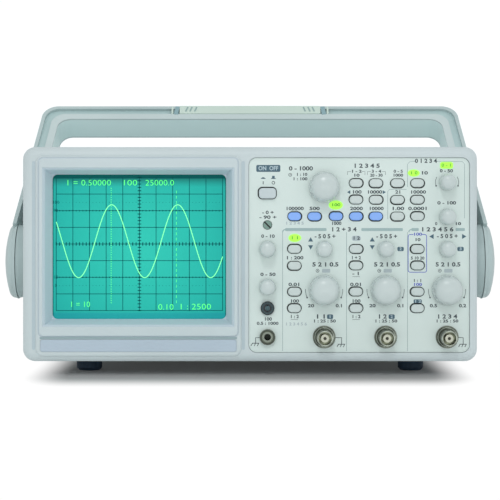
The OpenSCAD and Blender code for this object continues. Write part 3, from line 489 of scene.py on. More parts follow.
def stroke(start, end, width, y, thick=INK):
    """Flat line between two points, given as (x, z), on a plane facing the front."""
    x0, z0 = start
    x1, z1 = end
    length = math.hypot(x1 - x0, z1 - z0)
    angle = math.atan2(z1 - z0, x1 - x0)
    bpy.ops.mesh.primitive_cube_add(size=1)
    obj = active()
    obj.scale = (length + width * 0.5, 2 * thick, width)
    obj.rotation_euler = (0, -angle, 0)
    obj.location = ((x0 + x1) / 2, y, (z0 + z1) / 2)
    return place_applied(obj)


def ribbon(points, width, y, thick=INK):
    """Flat band of even width through a row of points, given as (x, z), on a plane facing the front.

    A row that ends where it starts is closed.
    """
    last = len(points) - 1
    closed = math.dist(points[0], points[last]) < 1e-6
    bpy.ops.mesh.primitive_grid_add(x_subdivisions=last, y_subdivisions=1, size=1)
    obj = active()
    for vertex in obj.data.vertices:
        i = round((vertex.co.x + 0.5) * last)
        before = points[i - 1] if i else points[last - 1] if closed else points[0]
        after = points[i + 1] if i < last else points[1] if closed else points[last]
        along = Vector(after) - Vector(before)
        across = Vector((-along.y, along.x)).normalized() * width * vertex.co.y
        vertex.co = (points[i][0] + across.x, points[i][1] + across.y, -thick)
    bpy.ops.object.mode_set(mode="EDIT")
    thicken(2 * thick)
    return face_front(obj, 0, y, 0)


def repeated(obj, count, step):
    """Row of copies, each moved on by the step."""
    row = obj.modifiers.new("row", "ARRAY")
    row.count = count
    row.use_relative_offset = False
    row.use_constant_offset = True
    row.constant_offset_displace = step
    bpy.ops.object.modifier_apply(modifier=row.name)
    return obj


def arc_points(x, z, radius, start, end, count=8):
    """Points on an arc about (x, z), with angles in degrees from the right, upwards."""
    angles = [math.radians(start + (end - start) * i / count) for i in range(count + 1)]
    return [(x + radius * math.cos(a), z + radius * math.sin(a)) for a in angles]


def soft_tile(x, z, width, height, corner, y, thick):
    """Flat plate with round corners, facing the front, standing out by its thickness."""
    obj = soft_outline(width, height, corner, 5)
    thicken(thick)
    return face_front(obj, x, y, z)


# Share of a letter's size that its capitals take
CAP_SHARE = 0.7


def numeral(text, x, z, height, y, weight=0.012, width=None):
    """Printed number, centred, facing the front, and drawn out to a width where one is given."""
    bpy.ops.object.text_add()
    obj = active()
    obj.data.body = text
    obj.data.size = height / CAP_SHARE
    obj.data.align_x = "CENTER"
    obj.data.align_y = "CENTER"
    obj.data.extrude = INK
    obj.data.offset = weight * height
    obj.data.resolution_u = 3
    bpy.ops.object.convert(target="MESH")
    obj = active()
    if width:
        obj.scale = (width / obj.dimensions.x, 1, 1)
    return face_front(obj, x, y, z)


def front_disc(x, z, radius, y0, y1, vertices=40):
    """Round bar along the depth from y0 to y1."""
    bpy.ops.mesh.primitive_cylinder_add(vertices=vertices, radius=radius, depth=abs(y1 - y0))
    return face_front(active(), x, (y0 + y1) / 2, z)


def arrow(x, z, size, turn, y):
    """Printed triangle, pointing up and then turned clockwise by turn degrees."""
    obj = front_disc(0, 0, size, -INK, INK, 3)
    obj.rotation_euler = (0, math.radians(turn), 0)
    obj.location = (x, y, z)
    return place_applied(obj)


def middle(node):
    """Middle of a node's box."""
    low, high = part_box(node)
    return (low + high) / 2


# Finishes of the model's own pieces

BLUE_KEYS = [f"lower_key_{i}" for i in range(1, 6)]
sockets_low, sockets_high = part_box("front_sockets")
left_x = middle("focus_knob").x
terminal_z = sockets_high.z - 4.2 * MM

node_finishes = {
    "front_bezel": FRAME,
    "rear_panel": FRAME,
    "screen_surround": SURROUND,
    "control_panel": PANEL,
    "crt_tube": GLASS,
    "electronics": BOARD,
    "chassis": SHEET,
    "upper_cover": COVER,
    "lower_cover": COVER,
    "case_feet": RUBBER,
    "handle_bosses": HANDLE,
    "handle_bail": HANDLE,
    "power_button": POWER,
    "rotation_trimmer": TRIMMER,
}
swing = next(j for j in frame["record"]["behaviour"]["joints"] if j["name"] == "handle_swing")
pivot = Vector(swing["pos_m"])
# The grip's inner face is painted lighter, as painted light on a face that looks down
node_finishes["handle_grip"] = grip_finish(
    "grip plastic", pivot, BAIL_LEAN, linear(178, 202, 202), linear(192, 207, 207), linear(225, 245, 244)
)
first_x = middle("volts_1_dial").x
second_x = middle("volts_2_dial").x
socket_z = sockets_low.z + 6.9 * MM
node_finishes["front_sockets"] = front_metal(
    "socket nickel", (first_x, socket_z), second_x - first_x, (left_x, socket_z), (left_x, terminal_z)
)
node_finishes["rear_sockets"] = rear_metal("rear socket nickel", middle("rear_panel").x)
filter_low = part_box("screen_filter")[0]
screen_mid = middle("screen_filter")
screen_y = filter_low.y
WINDOW_WIDTH = 106.1 * MM
WINDOW_HEIGHT = 88.3 * MM
node_finishes["screen_filter"] = screen_finish(
    "screen teal", (screen_mid.x, screen_y, screen_mid.z), 62 * MM, WINDOW_HEIGHT
)


def finish_of(name):
    """Finish of a node by its name."""
    if name in node_finishes:
        return node_finishes[name]
    if name in BLUE_KEYS:
        return BLUE_KEY
    if "_key_" in name:
        return KEY
    return STEEL if name.endswith("_shaft") else KNOB


for name, obj in nodes.items():
    obj.data.materials.clear()
    obj.data.materials.append(finish_of(name))


# Panel print: x is counted from a line left of the first channel's keys, z from the front frame's lower edge
KEYS_FROM_LINE = 27.0 * MM
column_x = middle("channel_1_key_1").x - KEYS_FROM_LINE


def px(x):
    return column_x + x * MM


def pz(z):
    return base_z + z * MM


POWER_CORNER = 2.6 * MM
LINE = 0.28 * MM
TITLE = 2.4 * MM
LABEL = 1.9 * MM
SMALL = 1.7 * MM
WEIGHT = 0.045

dark_print = []
tag_print = []
tag_numbers = []
rule_print = []
bar_print = []
blue_print = []
pale_print = []


def label(row, text, x, z, width, height=LABEL, rise=0.0):
    row.append(numeral(text, px(x), pz(z), height, panel_y - rise, WEIGHT, width * MM))


def tag(row, x, z, width, height, corner=0.5):
    row.append(soft_tile(px(x), pz(z), width * MM, height * MM, corner * MM, panel_y, INK))


def line(row, points, width=LINE):
    row.append(ribbon([(px(x), pz(z)) for x, z in points], width, panel_y))


# Plain numbers in place of every legend, by height and from the top of the panel down: text, place and width
for height, rows in (
    (TITLE, (
        ("0 - 1000", 30.9, 117.2, 14.6), ("1 2 3 4 5", 70.8, 118.8, 15.2), ("0 1 2 3 4", 106.8, 121.8, 13.4),
        ("1 2 + 3 4", 56.9, 80.2, 14.8), ("1 2 3 4 5 6", 113.6, 80.2, 19.0), ("- 5 0 5 +", 45.6, 76.0, 12.6),
        ("- 5 0 5 +", 83.0, 76.0, 12.6), ("- 5 0 5 +", 119.8, 76.1, 12.6), ("5 2 1 0.5", 45.8, 58.9, 15.8),
        ("5 2 1 0.5", 83.2, 58.9, 15.8), ("5 2 1 0.5", 120.2, 58.9, 15.0), ("1 1", 43.0, 27.3, 4.8),
        ("1 2", 80.3, 27.3, 4.8), ("1 2 3 4", 119.6, 27.3, 11.6),
    )),
    (LABEL, (
        ("10", 105.8, 114.5, 3.6), ("0 - 50", 119.2, 115.8, 8.0), ("100", 64.8, 102.9, 5.2),
        ("10000", 75.6, 102.9, 8.6), ("21", 90.0, 102.9, 3.0), ("10000", 102.0, 102.9, 9.0),
        ("100000", 27.1, 92.9, 10.4), ("500", 39.2, 92.9, 6.2), ("2000", 64.6, 92.9, 7.8),
        ("10000", 76.6, 92.9, 8.4), ("1.00", 89.7, 92.9, 7.0), ("0.0001", 102.0, 92.9, 11.2),
        ("0 - 100", 119.4, 96.3, 11.4), ("1000", 52.4, 83.9, 5.6), ("- 0 +", 10.9, 90.5, 7.0),
        ("- 90 +", 10.9, 87.6, 10.4), ("0 - 10", 10.9, 76.1, 8.2), ("0 - 50", 10.9, 52.9, 9.2),
        ("1 : 200", 27.1, 63.0, 10.0), ("1 + 2", 64.4, 63.0, 5.4), ("- 1", 64.4, 53.4, 4.0),
        ("0.01", 27.0, 46.8, 6.6), ("0.01", 64.4, 46.8, 6.6), ("100", 27.0, 36.7, 4.8),
        ("100", 64.4, 36.7, 4.8), ("1 : 2", 27.0, 27.3, 4.8), ("1 : 2", 64.4, 27.3, 4.8),
        ("20", 37.0, 33.9, 3.8), ("0.1", 54.2, 33.9, 3.8), ("20", 74.3, 33.9, 3.8), ("0.1", 91.5, 33.9, 3.8),
        ("0.5", 111.4, 33.9, 4.4), ("0.2", 129.0, 33.9, 4.4), ("100", 10.9, 25.8, 4.2),
    )),
    (SMALL, (
        ("1 : 10", 31.4, 113.6, 6.2), ("1 : 100", 30.4, 110.9, 8.4), ("1 - 2", 64.6, 115.5, 5.8),
        ("10", 64.6, 113.1, 3.2), ("3 - 4", 76.7, 115.5, 5.8), ("20 - 30", 76.7, 113.1, 7.6),
        ("0 - 5", 90.0, 115.5, 5.6), ("1000", 89.8, 113.1, 5.8), ("0", 113.0, 83.7, 1.4),
        ("10", 126.2, 83.7, 3.2), ("1 : 25 : 50", 45.2, 24.6, 13.2), ("1 : 25 : 50", 82.5, 24.6, 13.2),
        ("1 : 25 : 50", 119.6, 24.6, 13.2), ("10", 101.7, 74.0, 3.0), ("5 10 20", 101.7, 62.8, 8.2),
        ("1 : 1", 101.7, 49.2, 4.4), ("0.5 : 1000", 10.7, 23.2, 13.2),
    )),
):
    for text, x, z, width in rows:
        label(dark_print, text, x, z, width, height)
for text, x, z, width in (("1 2 3 4 5", 27.1, 84.0, 10.6), ("1 2 3 4 5 6", 28.0, 22.8, 12.6)):
    label(pale_print, text, x, z, width, SMALL)
for text, x, z, width in (("100", 101.7, 77.3, 4.8), ("100", 101.7, 46.8, 4.8)):
    label(blue_print, text, x, z, width, SMALL)

# Rings that stand for a dial's push
for x, z in ((24.4, 113.4), (41.0, 55.2), (78.4, 55.2), (115.2, 55.2)):
    dark_print.append(ribbon(arc_points(px(x), pz(z), 0.95 * MM, 0, 360, 14), LINE, panel_y))
    dark_print.append(front_disc(px(x), pz(z), 0.35 * MM, panel_y - INK, panel_y + INK, 10))
for x in (46.2, 83.6, 120.4):
    tag(pale_print, x, 55.2, 5.0, 2.2)

# Brackets over the first keys of the upper row, and rules under four labels
for left, right in ((59.2, 69.8), (71.3, 82.2)):
    line(dark_print, ((left, 113.4), (left, 115.4), (left + 2.0, 115.4)), 0.2 * MM)
    line(dark_print, ((right - 2.0, 115.4), (right, 115.4), (right, 113.4)), 0.2 * MM)
for x, z in ((27.0, 25.6), (64.4, 25.6), (64.4, 51.6), (27.1, 91.6)):
    line(dark_print, ((x - 2.2, z), (x + 2.2, z)), 0.2 * MM)


def dial_scale(name, radius, start, end):
    """Arcs that end in dots on both sides of a dial."""
    spot = middle(name)
    for first, last in ((start, end), (180 - start, 180 - end)):
        points = arc_points(spot.x, spot.z, radius, first, last)
        dark_print.append(ribbon(points, LINE, panel_y))
        tip_x, tip_z = points[-1]
        dark_print.append(front_disc(tip_x, tip_z, 0.5 * MM, panel_y - INK, panel_y + INK, 12))


for name in ("volts_1", "volts_2", "sweep_rate"):
    dial_scale(name + "_dial", 11.3 * MM, 3, -24)
dial_scale("level_knob", 7.0 * MM, 28, -18)

# Arrows beside the position knobs and above two keys of the middle row
for x, z, size, turn in (
    (36.8, 73.8, 1.75, 0), (36.8, 69.8, 1.75, 180), (74.2, 73.8, 1.75, 0), (74.2, 69.8, 1.75, 180),
    (110.6, 76.0, 1.75, -90), (129.6, 76.0, 1.75, 90), (60.2, 102.9, 1.3, -90), (81.2, 102.9, 1.3, 90),
):
    tag_print.append(arrow(px(x), pz(z), size * MM, turn, panel_y))

# Tags with pale numbers or the switch's ON and OFF, and its signs: a low and a high key over a bar and a ring
for text, x, z, width, height, inner in (
    ("ON  OFF", 11.1, 117.3, 14.6, 4.2, 12.0),
    ("2", 91.4, 68.4, 3.9, 2.6, 1.3),
    ("3", 127.8, 68.4, 3.9, 2.6, 1.3),
    ("1 2", 101.8, 36.6, 5.0, 2.5, 3.6),
    ("1", 48.6, 27.3, 3.7, 2.8, 0.6),
    ("2", 86.0, 27.3, 3.7, 2.8, 1.3),
):
    tag(tag_print, x, z, width, height, 0.8)
    label(tag_numbers, text, x, z, inner, TITLE if width > 10 else SMALL, INK)
for x, tall in ((8.0, 0.6), (14.2, 1.5)):
    tag(tag_print, x, 111.3 + tall / 2, 1.6, tall, 0.2)
    line(tag_print, ((x - 1.4, 111.2), (x + 1.4, 111.2)), 0.45 * MM)
line(dark_print, ((8.0, 107.7), (8.0, 109.5)), 0.45 * MM)
dark_print.append(ribbon(arc_points(px(14.2), pz(108.6), 0.85 * MM, 0, 360, 12), 0.4 * MM, panel_y))

# Rules and bars that group the controls
RULE_LOW = 6.6
BLOCK_TOP = 80.2
for x in (19.8, 58.6, 95.6):
    rule_print.append(stroke((px(x), pz(RULE_LOW)), (px(x), pz(BLOCK_TOP - 1.6)), 0.3 * MM, panel_y))
line(rule_print, ((95.6, 106.0), (95.6, 119.8), (97.0, 121.4), (100.4, 121.6)))
line(rule_print, ((113.0, 121.6), (129.0, 121.4), (130.2, 120.0), (130.2, 87.0)))
line(rule_print, ((95.0, 104.6), (84.6, 104.6), (83.6, 103.4), (83.6, 86.5)))
BAR_WIDTH = 1.8
for left, right in ((21.4, 46.4), (67.6, 92.8), (98.0, 102.4), (124.8, 130.4)):
    tag(bar_print, (left + right) / 2, BLOCK_TOP, right - left, BAR_WIDTH)
for left in (21.4, 98.0):
    points = arc_points(px(left), pz(BLOCK_TOP - 1.6), 1.6 * MM, 90, 180, 5)
    bar_print.append(ribbon(points, 0.7 * MM, panel_y))

# Painted shadow round every key: a dark rim at the edge of its hole, whose size a key's flange and the gap
# round it give
KEY_SHADOW_LINE = 0.22 * MM
KEY_SHADOW_SHIFT = 0.19 * MM
KEY_FLANGE = 1 * MM
KEY_GAP = 0.4 * MM

# The side, to the right and up, on which each key's painted shadow rim is widest
KEY_SHADOW_SIDES = {
    "upper_key_1": (1, 0), "upper_key_2": (0, -1), "upper_key_3": (0, -1), "upper_key_4": (1, -1),
    "middle_key_1": (0, 1), "middle_key_2": (1, 0), "middle_key_3": (0, -1),
    "lower_key_1": (1, 0), "lower_key_2": (1, -1), "lower_key_3": (0, 1), "lower_key_4": (1, 0),
    "lower_key_5": (-1, -1), "lower_key_6": (0, -1), "lower_key_7": (0, 1),
    "channel_1_key_1": (0, 1), "channel_1_key_2": (-1, -1), "channel_1_key_4": (-1, 1),
    "channel_2_key_1": (1, 0), "channel_2_key_2": (0, 1), "channel_2_key_3": (-1, 1),
    "channel_2_key_4": (0, 1),
    "sweep_key_1": (-1, 0), "sweep_key_2": (0, 1), "sweep_key_3": (-1, 0), "sweep_key_4": (-1, 1),
    "power_button": (-1, 1),
}


def hole_rim(width, height, corner, line=KEY_SHADOW_LINE):
    """Thin band round a hole with round corners, at the origin and facing the front."""
    obj = soft_outline(width + 2 * line, height + 2 * line, corner + line, 7)
    bpy.ops.mesh.inset(thickness=line)
    bpy.ops.mesh.delete(type="FACE")
    thicken(INK)
    return face_front(obj, 0, 0, 0)


def hole_size(name):
    low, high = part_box(name)
    return high.x - low.x - 2 * KEY_FLANGE + 2 * KEY_GAP, high.z - low.z - 2 * KEY_FLANGE + 2 * KEY_GAP


def outer_vertices(rim, width, height, corner):
    """Numbers of the vertices on the outer outline of a rim."""
    found = []
    for vertex in rim.data.vertices:
        beyond_x = max(abs(vertex.co.x) - width / 2 + corner, 0)
        beyond_z = max(abs(vertex.co.z) - height / 2 + corner, 0)
        if math.hypot(beyond_x, beyond_z) > corner + KEY_SHADOW_LINE / 2:
            found.append(vertex.index)
    return found


def seat_shadow_rim(rim, name, outer):
    """Puts a painted shadow rim round its key, wider on one side."""
    side = Vector(KEY_SHADOW_SIDES.get(name, (0, 0))).normalized() * KEY_SHADOW_SHIFT
    for i in outer:
        rim.data.vertices[i].co += Vector((side.x, 0, side.y))
    spot = middle(name)
    rim.location = (spot.x, panel_y, spot.z)
    return place_applied(rim)


keys = [name for name in nodes if "_key_" in name]
hole_w, hole_h = hole_size(keys[0])
hole_corner = hole_h * 0.49
key_shadow_rims = [hole_rim(hole_w, hole_h, hole_corner)]
outer = outer_vertices(key_shadow_rims[0], hole_w, hole_h, hole_corner)
for name in keys[1:]:
    bpy.ops.object.duplicate()
    key_shadow_rims.append(active())
for name, rim in zip(keys, key_shadow_rims):
    seat_shadow_rim(rim, name, outer)
power_w, power_h = hole_size("power_button")
power_rim = hole_rim(power_w, power_h, POWER_CORNER)
outer = outer_vertices(power_rim, power_w, power_h, POWER_CORNER)
key_shadow_rims.append(seat_shadow_rim(power_rim, "power_button", outer))
joined(key_shadow_rims, "key_shadow_rims", KEY_SHADOW, "case")

# Blue frame round the first two sweep keys
upper, lower = middle("sweep_key_1"), middle("sweep_key_2")
half = 5.6 * MM
top_z, low_z = upper.z + 8.8 * MM, lower.z - 4.0 * MM
corner = 1.2 * MM
corners = [(upper.x - half, low_z), (upper.x - half, top_z), (upper.x + half, top_z), (upper.x + half, low_z)]
outline = []
for (cx, cz), (sx, sz), start in zip(corners, ((1, 1), (1, -1), (-1, -1), (-1, 1)), (270, 180, 90, 0)):
    outline.extend(arc_points(cx + sx * corner, cz + sz * corner, corner, start, start - 90, 4))
gap_left, gap_right = (upper.x - 2.4 * MM, top_z), (upper.x + 2.4 * MM, top_z)
blue_print.append(ribbon([gap_right] + outline[10:] + outline[:10] + [gap_left], 0.4 * MM, panel_y))

# Earth signs beside the jack and two sockets
EARTH_LINE = 0.42 * MM
EARTH_TOP = 14.6
for start, end, drop in ((5.9, 3.4, 3.4), (52.0, 55.6, 4.0), (126.6, 129.4, 4.0)):
    low = EARTH_TOP - drop
    line(dark_print, ((start, EARTH_TOP), (end, EARTH_TOP), (end, low)), EARTH_LINE)
    line(dark_print, ((end - 2.1, low), (end + 2.1, low)), EARTH_LINE)
    for step in (-1.9, 0, 1.9):
        line(dark_print, ((end + step, low), (end + step - 0.9, low - 1.7)), EARTH_LINE)

# Lit lamps: low oval windows with a number each, in a painted glow of their light on the panel
LAMP_RISE = 0.3 * MM


def oval(x, z, width, height, rise):
    """Oval window on the panel."""
    obj = front_disc(0, 0, 0.5, -rise, rise, 48)
    obj.scale = (width, 1, height)
    obj.location = (x, panel_y, z)
    return place_applied(obj)


lamps = []
lamp_glow_ovals = []
lamp_print = []
for text, x, z, width, height, inner in (
    ("1 1", 27.2, 75.1, 7.4, 4.5, 3.8),
    ("100", 52.1, 95.1, 8.2, 5.2, 5.0),
    ("1 0", 99.4, 114.5, 7.0, 4.0, 4.0),
):
    lamp_glow_ovals.append(oval(px(x), pz(z), (width + 0.8) * MM, (height + 0.8) * MM, INK))
    lamps.append(oval(px(x), pz(z), width * MM, height * MM, LAMP_RISE))
    lamp_print.append(numeral(text, px(x), pz(z), LABEL, panel_y - LAMP_RISE, WEIGHT, inner * MM))
TRIGGER_X, TRIGGER_Z = px(119.3), pz(119.2)
lamp_glow_ovals.append(soft_tile(TRIGGER_X, TRIGGER_Z, 8.2 * MM, 4.4 * MM, 1.4 * MM, panel_y, INK))
lamps.append(soft_tile(TRIGGER_X, TRIGGER_Z, 7.6 * MM, 3.8 * MM, 1.2 * MM, panel_y, LAMP_RISE))
lamp_print.append(numeral("0 - 1", TRIGGER_X, TRIGGER_Z, LABEL, panel_y - LAMP_RISE, WEIGHT, 5.6 * MM))
tag(pale_print, 64.5, 74.9, 5.4, 3.0, 1.2)
lamp_off = [numeral("1 2", px(64.5), pz(74.9), LABEL, panel_y - INK, WEIGHT, 3.8 * MM)]

joined(dark_print + lamp_off, "panel_numbers", PRINT, "case")
joined(tag_print, "panel_tags", TAG, "case")
joined(tag_numbers, "tag_numbers", TAG_PRINT, "case")
joined(rule_print, "panel_rules", RULE, "case")
joined(bar_print, "group_bars", BAR, "case")
joined(blue_print, "blue_frame", BLUE_PRINT, "case")
joined(pale_print, "pale_numbers", PALE_PRINT, "case")
joined(lamp_glow_ovals, "lamp_glows", LAMP_GLOW, "case")
joined(lamps, "panel_lamps", LAMP, "case")
joined(lamp_print, "lamp_numbers", LAMP_PRINT, "case")


# Screen: ruled grid, trace, cursors and readouts

DIVISION = 10.18 * MM
ACROSS = 5
UPWARDS = 4
GRID_LIFT = 1.7 * MM
GRID_LINE = 0.4 * MM
TICK = 0.95 * MM
TICK_LINE = 0.55 * MM
TICKS = 5
grid_x = screen_mid.x
grid_z = screen_mid.z + GRID_LIFT
reach_x, reach_z = ACROSS * DIVISION, UPWARDS * DIVISION
left, low = grid_x - reach_x, grid_z - reach_z
right_step = (DIVISION, 0, 0)
up_step = (0, 0, DIVISION)
fine_right = (DIVISION / TICKS, 0, 0)
fine_up = (0, 0, DIVISION / TICKS)
across_count = 2 * ACROSS * TICKS + 1
up_count = 2 * UPWARDS * TICKS + 1
DOT = 0.32 * MM


def upright(x, z0, z1, width):
    return stroke((x, z0), (x, z1), width, screen_y)


def level(x0, x1, z, width):
    return stroke((x0, z), (x1, z), width, screen_y)


grid = [
    repeated(upright(left, low, low + 2 * reach_z, GRID_LINE), 2 * ACROSS + 1, right_step),
    repeated(level(left, left + 2 * reach_x, low, GRID_LINE), 2 * UPWARDS + 1, up_step),
    repeated(upright(left, grid_z - TICK, grid_z + TICK, TICK_LINE), across_count, fine_right),
    repeated(level(grid_x - TICK, grid_x + TICK, low, TICK_LINE), up_count, fine_up),
]
for rows, size, width in (((-2, 2), TICK / 4, TICK_LINE), ((-2.5, 2.5), DOT / 4, DOT)):
    for row in rows:
        z = grid_z + row * DIVISION
        grid.append(repeated(upright(left, z - size, z + size, width), across_count, fine_right))
for text, row in (("100", 2.5), ("90", 2), ("10", -2), ("0", -2.5)):
    grid.append(numeral(text, left - 0.2 * MM, grid_z + row * DIVISION, 1.9 * MM, screen_y, 0.0))
joined(grid, "screen_grid", GRID, "case")

# Painted shadow along the top and sides of the tube's face, under the window's edges, widest above
EDGE_SHADOW_TOP = 2.4 * MM
EDGE_SHADOW_SIDE = 0.45 * MM
edge_shadow_y = screen_y + INK / 2
EDGE_SHADOW_LAP = 1 * MM
half_w, half_h = WINDOW_WIDTH / 2 + EDGE_SHADOW_LAP, WINDOW_HEIGHT / 2 + EDGE_SHADOW_LAP
top, side = EDGE_SHADOW_TOP + EDGE_SHADOW_LAP, EDGE_SHADOW_SIDE + EDGE_SHADOW_LAP
top_z = screen_mid.z + half_h - top / 2
edge_shadow = [stroke((grid_x - half_w, top_z), (grid_x + half_w, top_z), top, edge_shadow_y)]
for x in (grid_x - half_w + side / 2, grid_x + half_w - side / 2):
    edge_shadow.append(stroke((x, screen_mid.z - half_h), (x, screen_mid.z + half_h), side, edge_shadow_y))
joined(edge_shadow, "screen_edge_shadow", SCREEN_EDGE_SHADOW, "case")

WAVE_LENGTH = 40.4 * MM
WAVE_HEIGHT = 22.3 * MM
WAVE_PEAK = -17.0 * MM
WAVE_LIFT = 3.4 * MM
WAVE_STEPS = 140
TRACE_LINE = 0.46 * MM
TRACE_RISE = 0.06 * MM
wave = []
for i in range(WAVE_STEPS + 1):
    x = -reach_x + 2 * reach_x * i / WAVE_STEPS
    z = WAVE_LIFT + WAVE_HEIGHT * math.cos(2 * math.pi * (x - WAVE_PEAK) / WAVE_LENGTH)
    wave.append((screen_mid.x + x, screen_mid.z + z))
joined([ribbon(wave, TRACE_LINE, screen_y, TRACE_RISE)], "screen_trace", TRACE, "case")

# Two upright cursors: a dotted and a dashed line
CURSOR_LINE = 0.31 * MM
cursor_low, cursor_high = screen_mid.z - 34.5 * MM, screen_mid.z + 37 * MM
cursors = []
for x, pitch, share, width in ((-17.3, 1.4, 0.36, CURSOR_LINE), (22.6, 3.2, 0.5, 0.75 * CURSOR_LINE)):
    x, pitch = screen_mid.x + x * MM, pitch * MM
    dash = upright(x, cursor_low, cursor_low + share * pitch, width)
    cursors.append(repeated(dash, int((cursor_high - cursor_low) / pitch), (0, 0, pitch)))

READOUT = 3.5 * MM
READOUT_WEIGHT = -0.02
readouts = []
for text, x, z, width in (
    ("1 = 0.50000", -31.2, 39.0, 26.5), ("100", -6.0, 39.0, 8.0), ("25000.0", 12.4, 39.0, 17.4),
    ("1 = 10", -36.4, -35.4, 11.4), ("0.10", 16.2, -37.0, 9.2), ("1 : 2500", 34.0, -36.8, 18.4),
):
    x, z = screen_mid.x + x * MM, screen_mid.z + z * MM
    readouts.append(numeral(text, x, z, READOUT, screen_y - INK, READOUT_WEIGHT, width * MM))
joined(cursors + readouts, "screen_readouts", READOUT_GREEN, "case")


# Bare name plate in its recess under the screen

surround_low, surround_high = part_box("screen_surround")
PLATE_DROP = 2.45 * MM
PLATE_HEIGHT = 7.3 * MM
PLATE_FLOOR = 0.5 * MM
plate_w = surround_high.x - surround_low.x - 8.4 * MM
plate = soft_tile(
    screen_mid.x, surround_low.z - PLATE_DROP, plate_w, PLATE_HEIGHT, 1.4 * MM, rim_y - PLATE_FLOOR, 0.4 * MM
)
joined([plate], "name_plate", PLATE, "case")

# Seal in the gap round the surround, a little darker than the frame for the shade along the step there, and a
# painted shadow under the surround, above the plate
SURROUND_LIP = 3 * MM
SURROUND_CORNER = 3 * MM
SEAL_LINE = 0.6 * MM
SEAL_LAP = 0.05 * MM
PLATE_GAP = 1.5 * MM
surround_w = surround_high.x - surround_low.x - 2 * SURROUND_LIP
surround_h = surround_high.z - surround_low.z - 2 * SURROUND_LIP
surround_foot = surround_low.z + SURROUND_LIP
seal = hole_rim(surround_w - 2 * SEAL_LAP, surround_h - 2 * SEAL_LAP, SURROUND_CORNER, SEAL_LINE)
seal.location = (screen_mid.x, bezel_low.y, surround_foot + surround_h / 2)
joined([place_applied(seal)], "surround_seal", SEAL, "case")
shadow_tile_z = surround_foot - PLATE_GAP / 2
shadow_tile = soft_tile(
    screen_mid.x, shadow_tile_z, surround_w - 1.6 * MM, PLATE_GAP, 0.7 * MM, bezel_low.y, 2 * INK
)
joined([shadow_tile], "surround_shadow", UNDER_SURROUND_SHADOW, "case")

# Shaded bands where the frame falls away on both sides of the raised field round the surround
FIELD_SIDE = 2 * MM
BAND_WIDTH = 1.9 * MM
band_x = surround_w / 2 + FIELD_SIDE + BAND_WIDTH / 2
band_low, band_high = surround_foot - 8 * MM, surround_foot + surround_h - 2 * MM
band_z, band_h = (band_low + band_high) / 2, band_high - band_low
bands = [
    soft_tile(screen_mid.x + side * band_x, band_z, BAND_WIDTH, band_h, 0.9 * MM, rim_y, INK)
    for side in (-1, 1)
]
joined(bands, "field_bands", BAND, "case")


# Bare strip on the front of the handle's bar, with slanted ribs at each end

POCKET_FRONT = 6.9 * MM
BAR_FRONT = 9.1 * MM
STRIP_REACH = 126.8 * MM
STRIP_LENGTH = 95.6 * MM
STRIP_HEIGHT = 7.2 * MM
STRIP_RISE = 0.3 * MM
RIB_PLACES = (43.1, 40.2, 37.0)


def leant(obj):
    """Turns a piece modelled on an upright bail back to the bail's lean."""
    turn = Matrix.Translation(pivot) @ Matrix.Rotation(-BAIL_LEAN, 4, "X") @ Matrix.Translation(-pivot)
    obj.matrix_world = turn @ obj.matrix_world
    return place_applied(obj)


strip_y = pivot.y - BAR_FRONT
strip_z = pivot.z + STRIP_REACH
strip_low, strip_high = strip_z - STRIP_HEIGHT / 2, strip_z + STRIP_HEIGHT / 2
pocket_z = pivot.z + 125.45 * MM
POCKET_HEIGHT = 4.7 * MM
END_WIDTH = 2.8 * MM
EDGE_WIDTH = 1.2 * MM
RIB_WIDTH = 1.0 * MM
LOW_RISE = 0.15 * MM
pocket_y = pivot.y - POCKET_FRONT
strip = [
    soft_tile(0, strip_z, STRIP_LENGTH, STRIP_HEIGHT, 0.6 * MM, strip_y, STRIP_RISE),
    soft_tile(0, pocket_z, STRIP_LENGTH - 1 * MM, POCKET_HEIGHT, 0.6 * MM, pocket_y, pocket_y - strip_y),
]
ends = []
ribs = []
end_high = strip_high - 1 * MM
rib_low, rib_high = strip_z - 1.5 * MM, strip_z + 2.2 * MM
for side in (-1, 1):
    edge = side * STRIP_LENGTH / 2
    foot, head, outer = edge + side * 2.3 * MM, edge + side * 1.5 * MM, edge + side * 4.9 * MM
    ends.append(stroke((foot, strip_low), (head, end_high), END_WIDTH, strip_y, LOW_RISE))
    strip.append(stroke((outer, strip_low), (outer, end_high), EDGE_WIDTH, strip_y, STRIP_RISE))
    for place in RIB_PLACES:
        foot, head = side * (place + 0.5) * MM, side * (place - 0.7) * MM
        ribs.append(stroke((foot, rib_low), (head, rib_high), RIB_WIDTH, strip_y - STRIP_RISE, LOW_RISE))
joined([leant(piece) for piece in strip], "handle_strip", STRIP, "handle")
joined([leant(piece) for piece in ends], "strip_ends", STRIP_END, "handle")
joined([leant(piece) for piece in ribs], "handle_ribs", RIB, "handle")


# Insulators and contacts of the bayonet sockets: radii, and depths of their two ends behind the socket's edge

CORE_RADIUS = 2.46 * MM
CORE_FRONT, CORE_BACK = 1.4 * MM, 8.3 * MM
CONTACT_RADIUS = 0.95 * MM
CONTACT_FRONT, CONTACT_BACK = 1.3 * MM, 4 * MM
insulators = []
contacts = []
tip = sockets_low.y
for name in ("volts_1", "volts_2", "sweep_rate"):
    x = middle(name + "_dial").x
    insulators.append(front_disc(x, socket_z, CORE_RADIUS, tip + CORE_FRONT, tip + CORE_BACK))
    contacts.append(front_disc(x, socket_z, CONTACT_RADIUS, tip + CONTACT_FRONT, tip + CONTACT_BACK, 20))
joined(insulators, "socket_insulators", INSULATOR, "case")
joined(contacts, "socket_contacts", CONTACT_SHADE, "case")


# Small fixings: cover screws, rear screws, and the insulators and contacts of the rear sockets

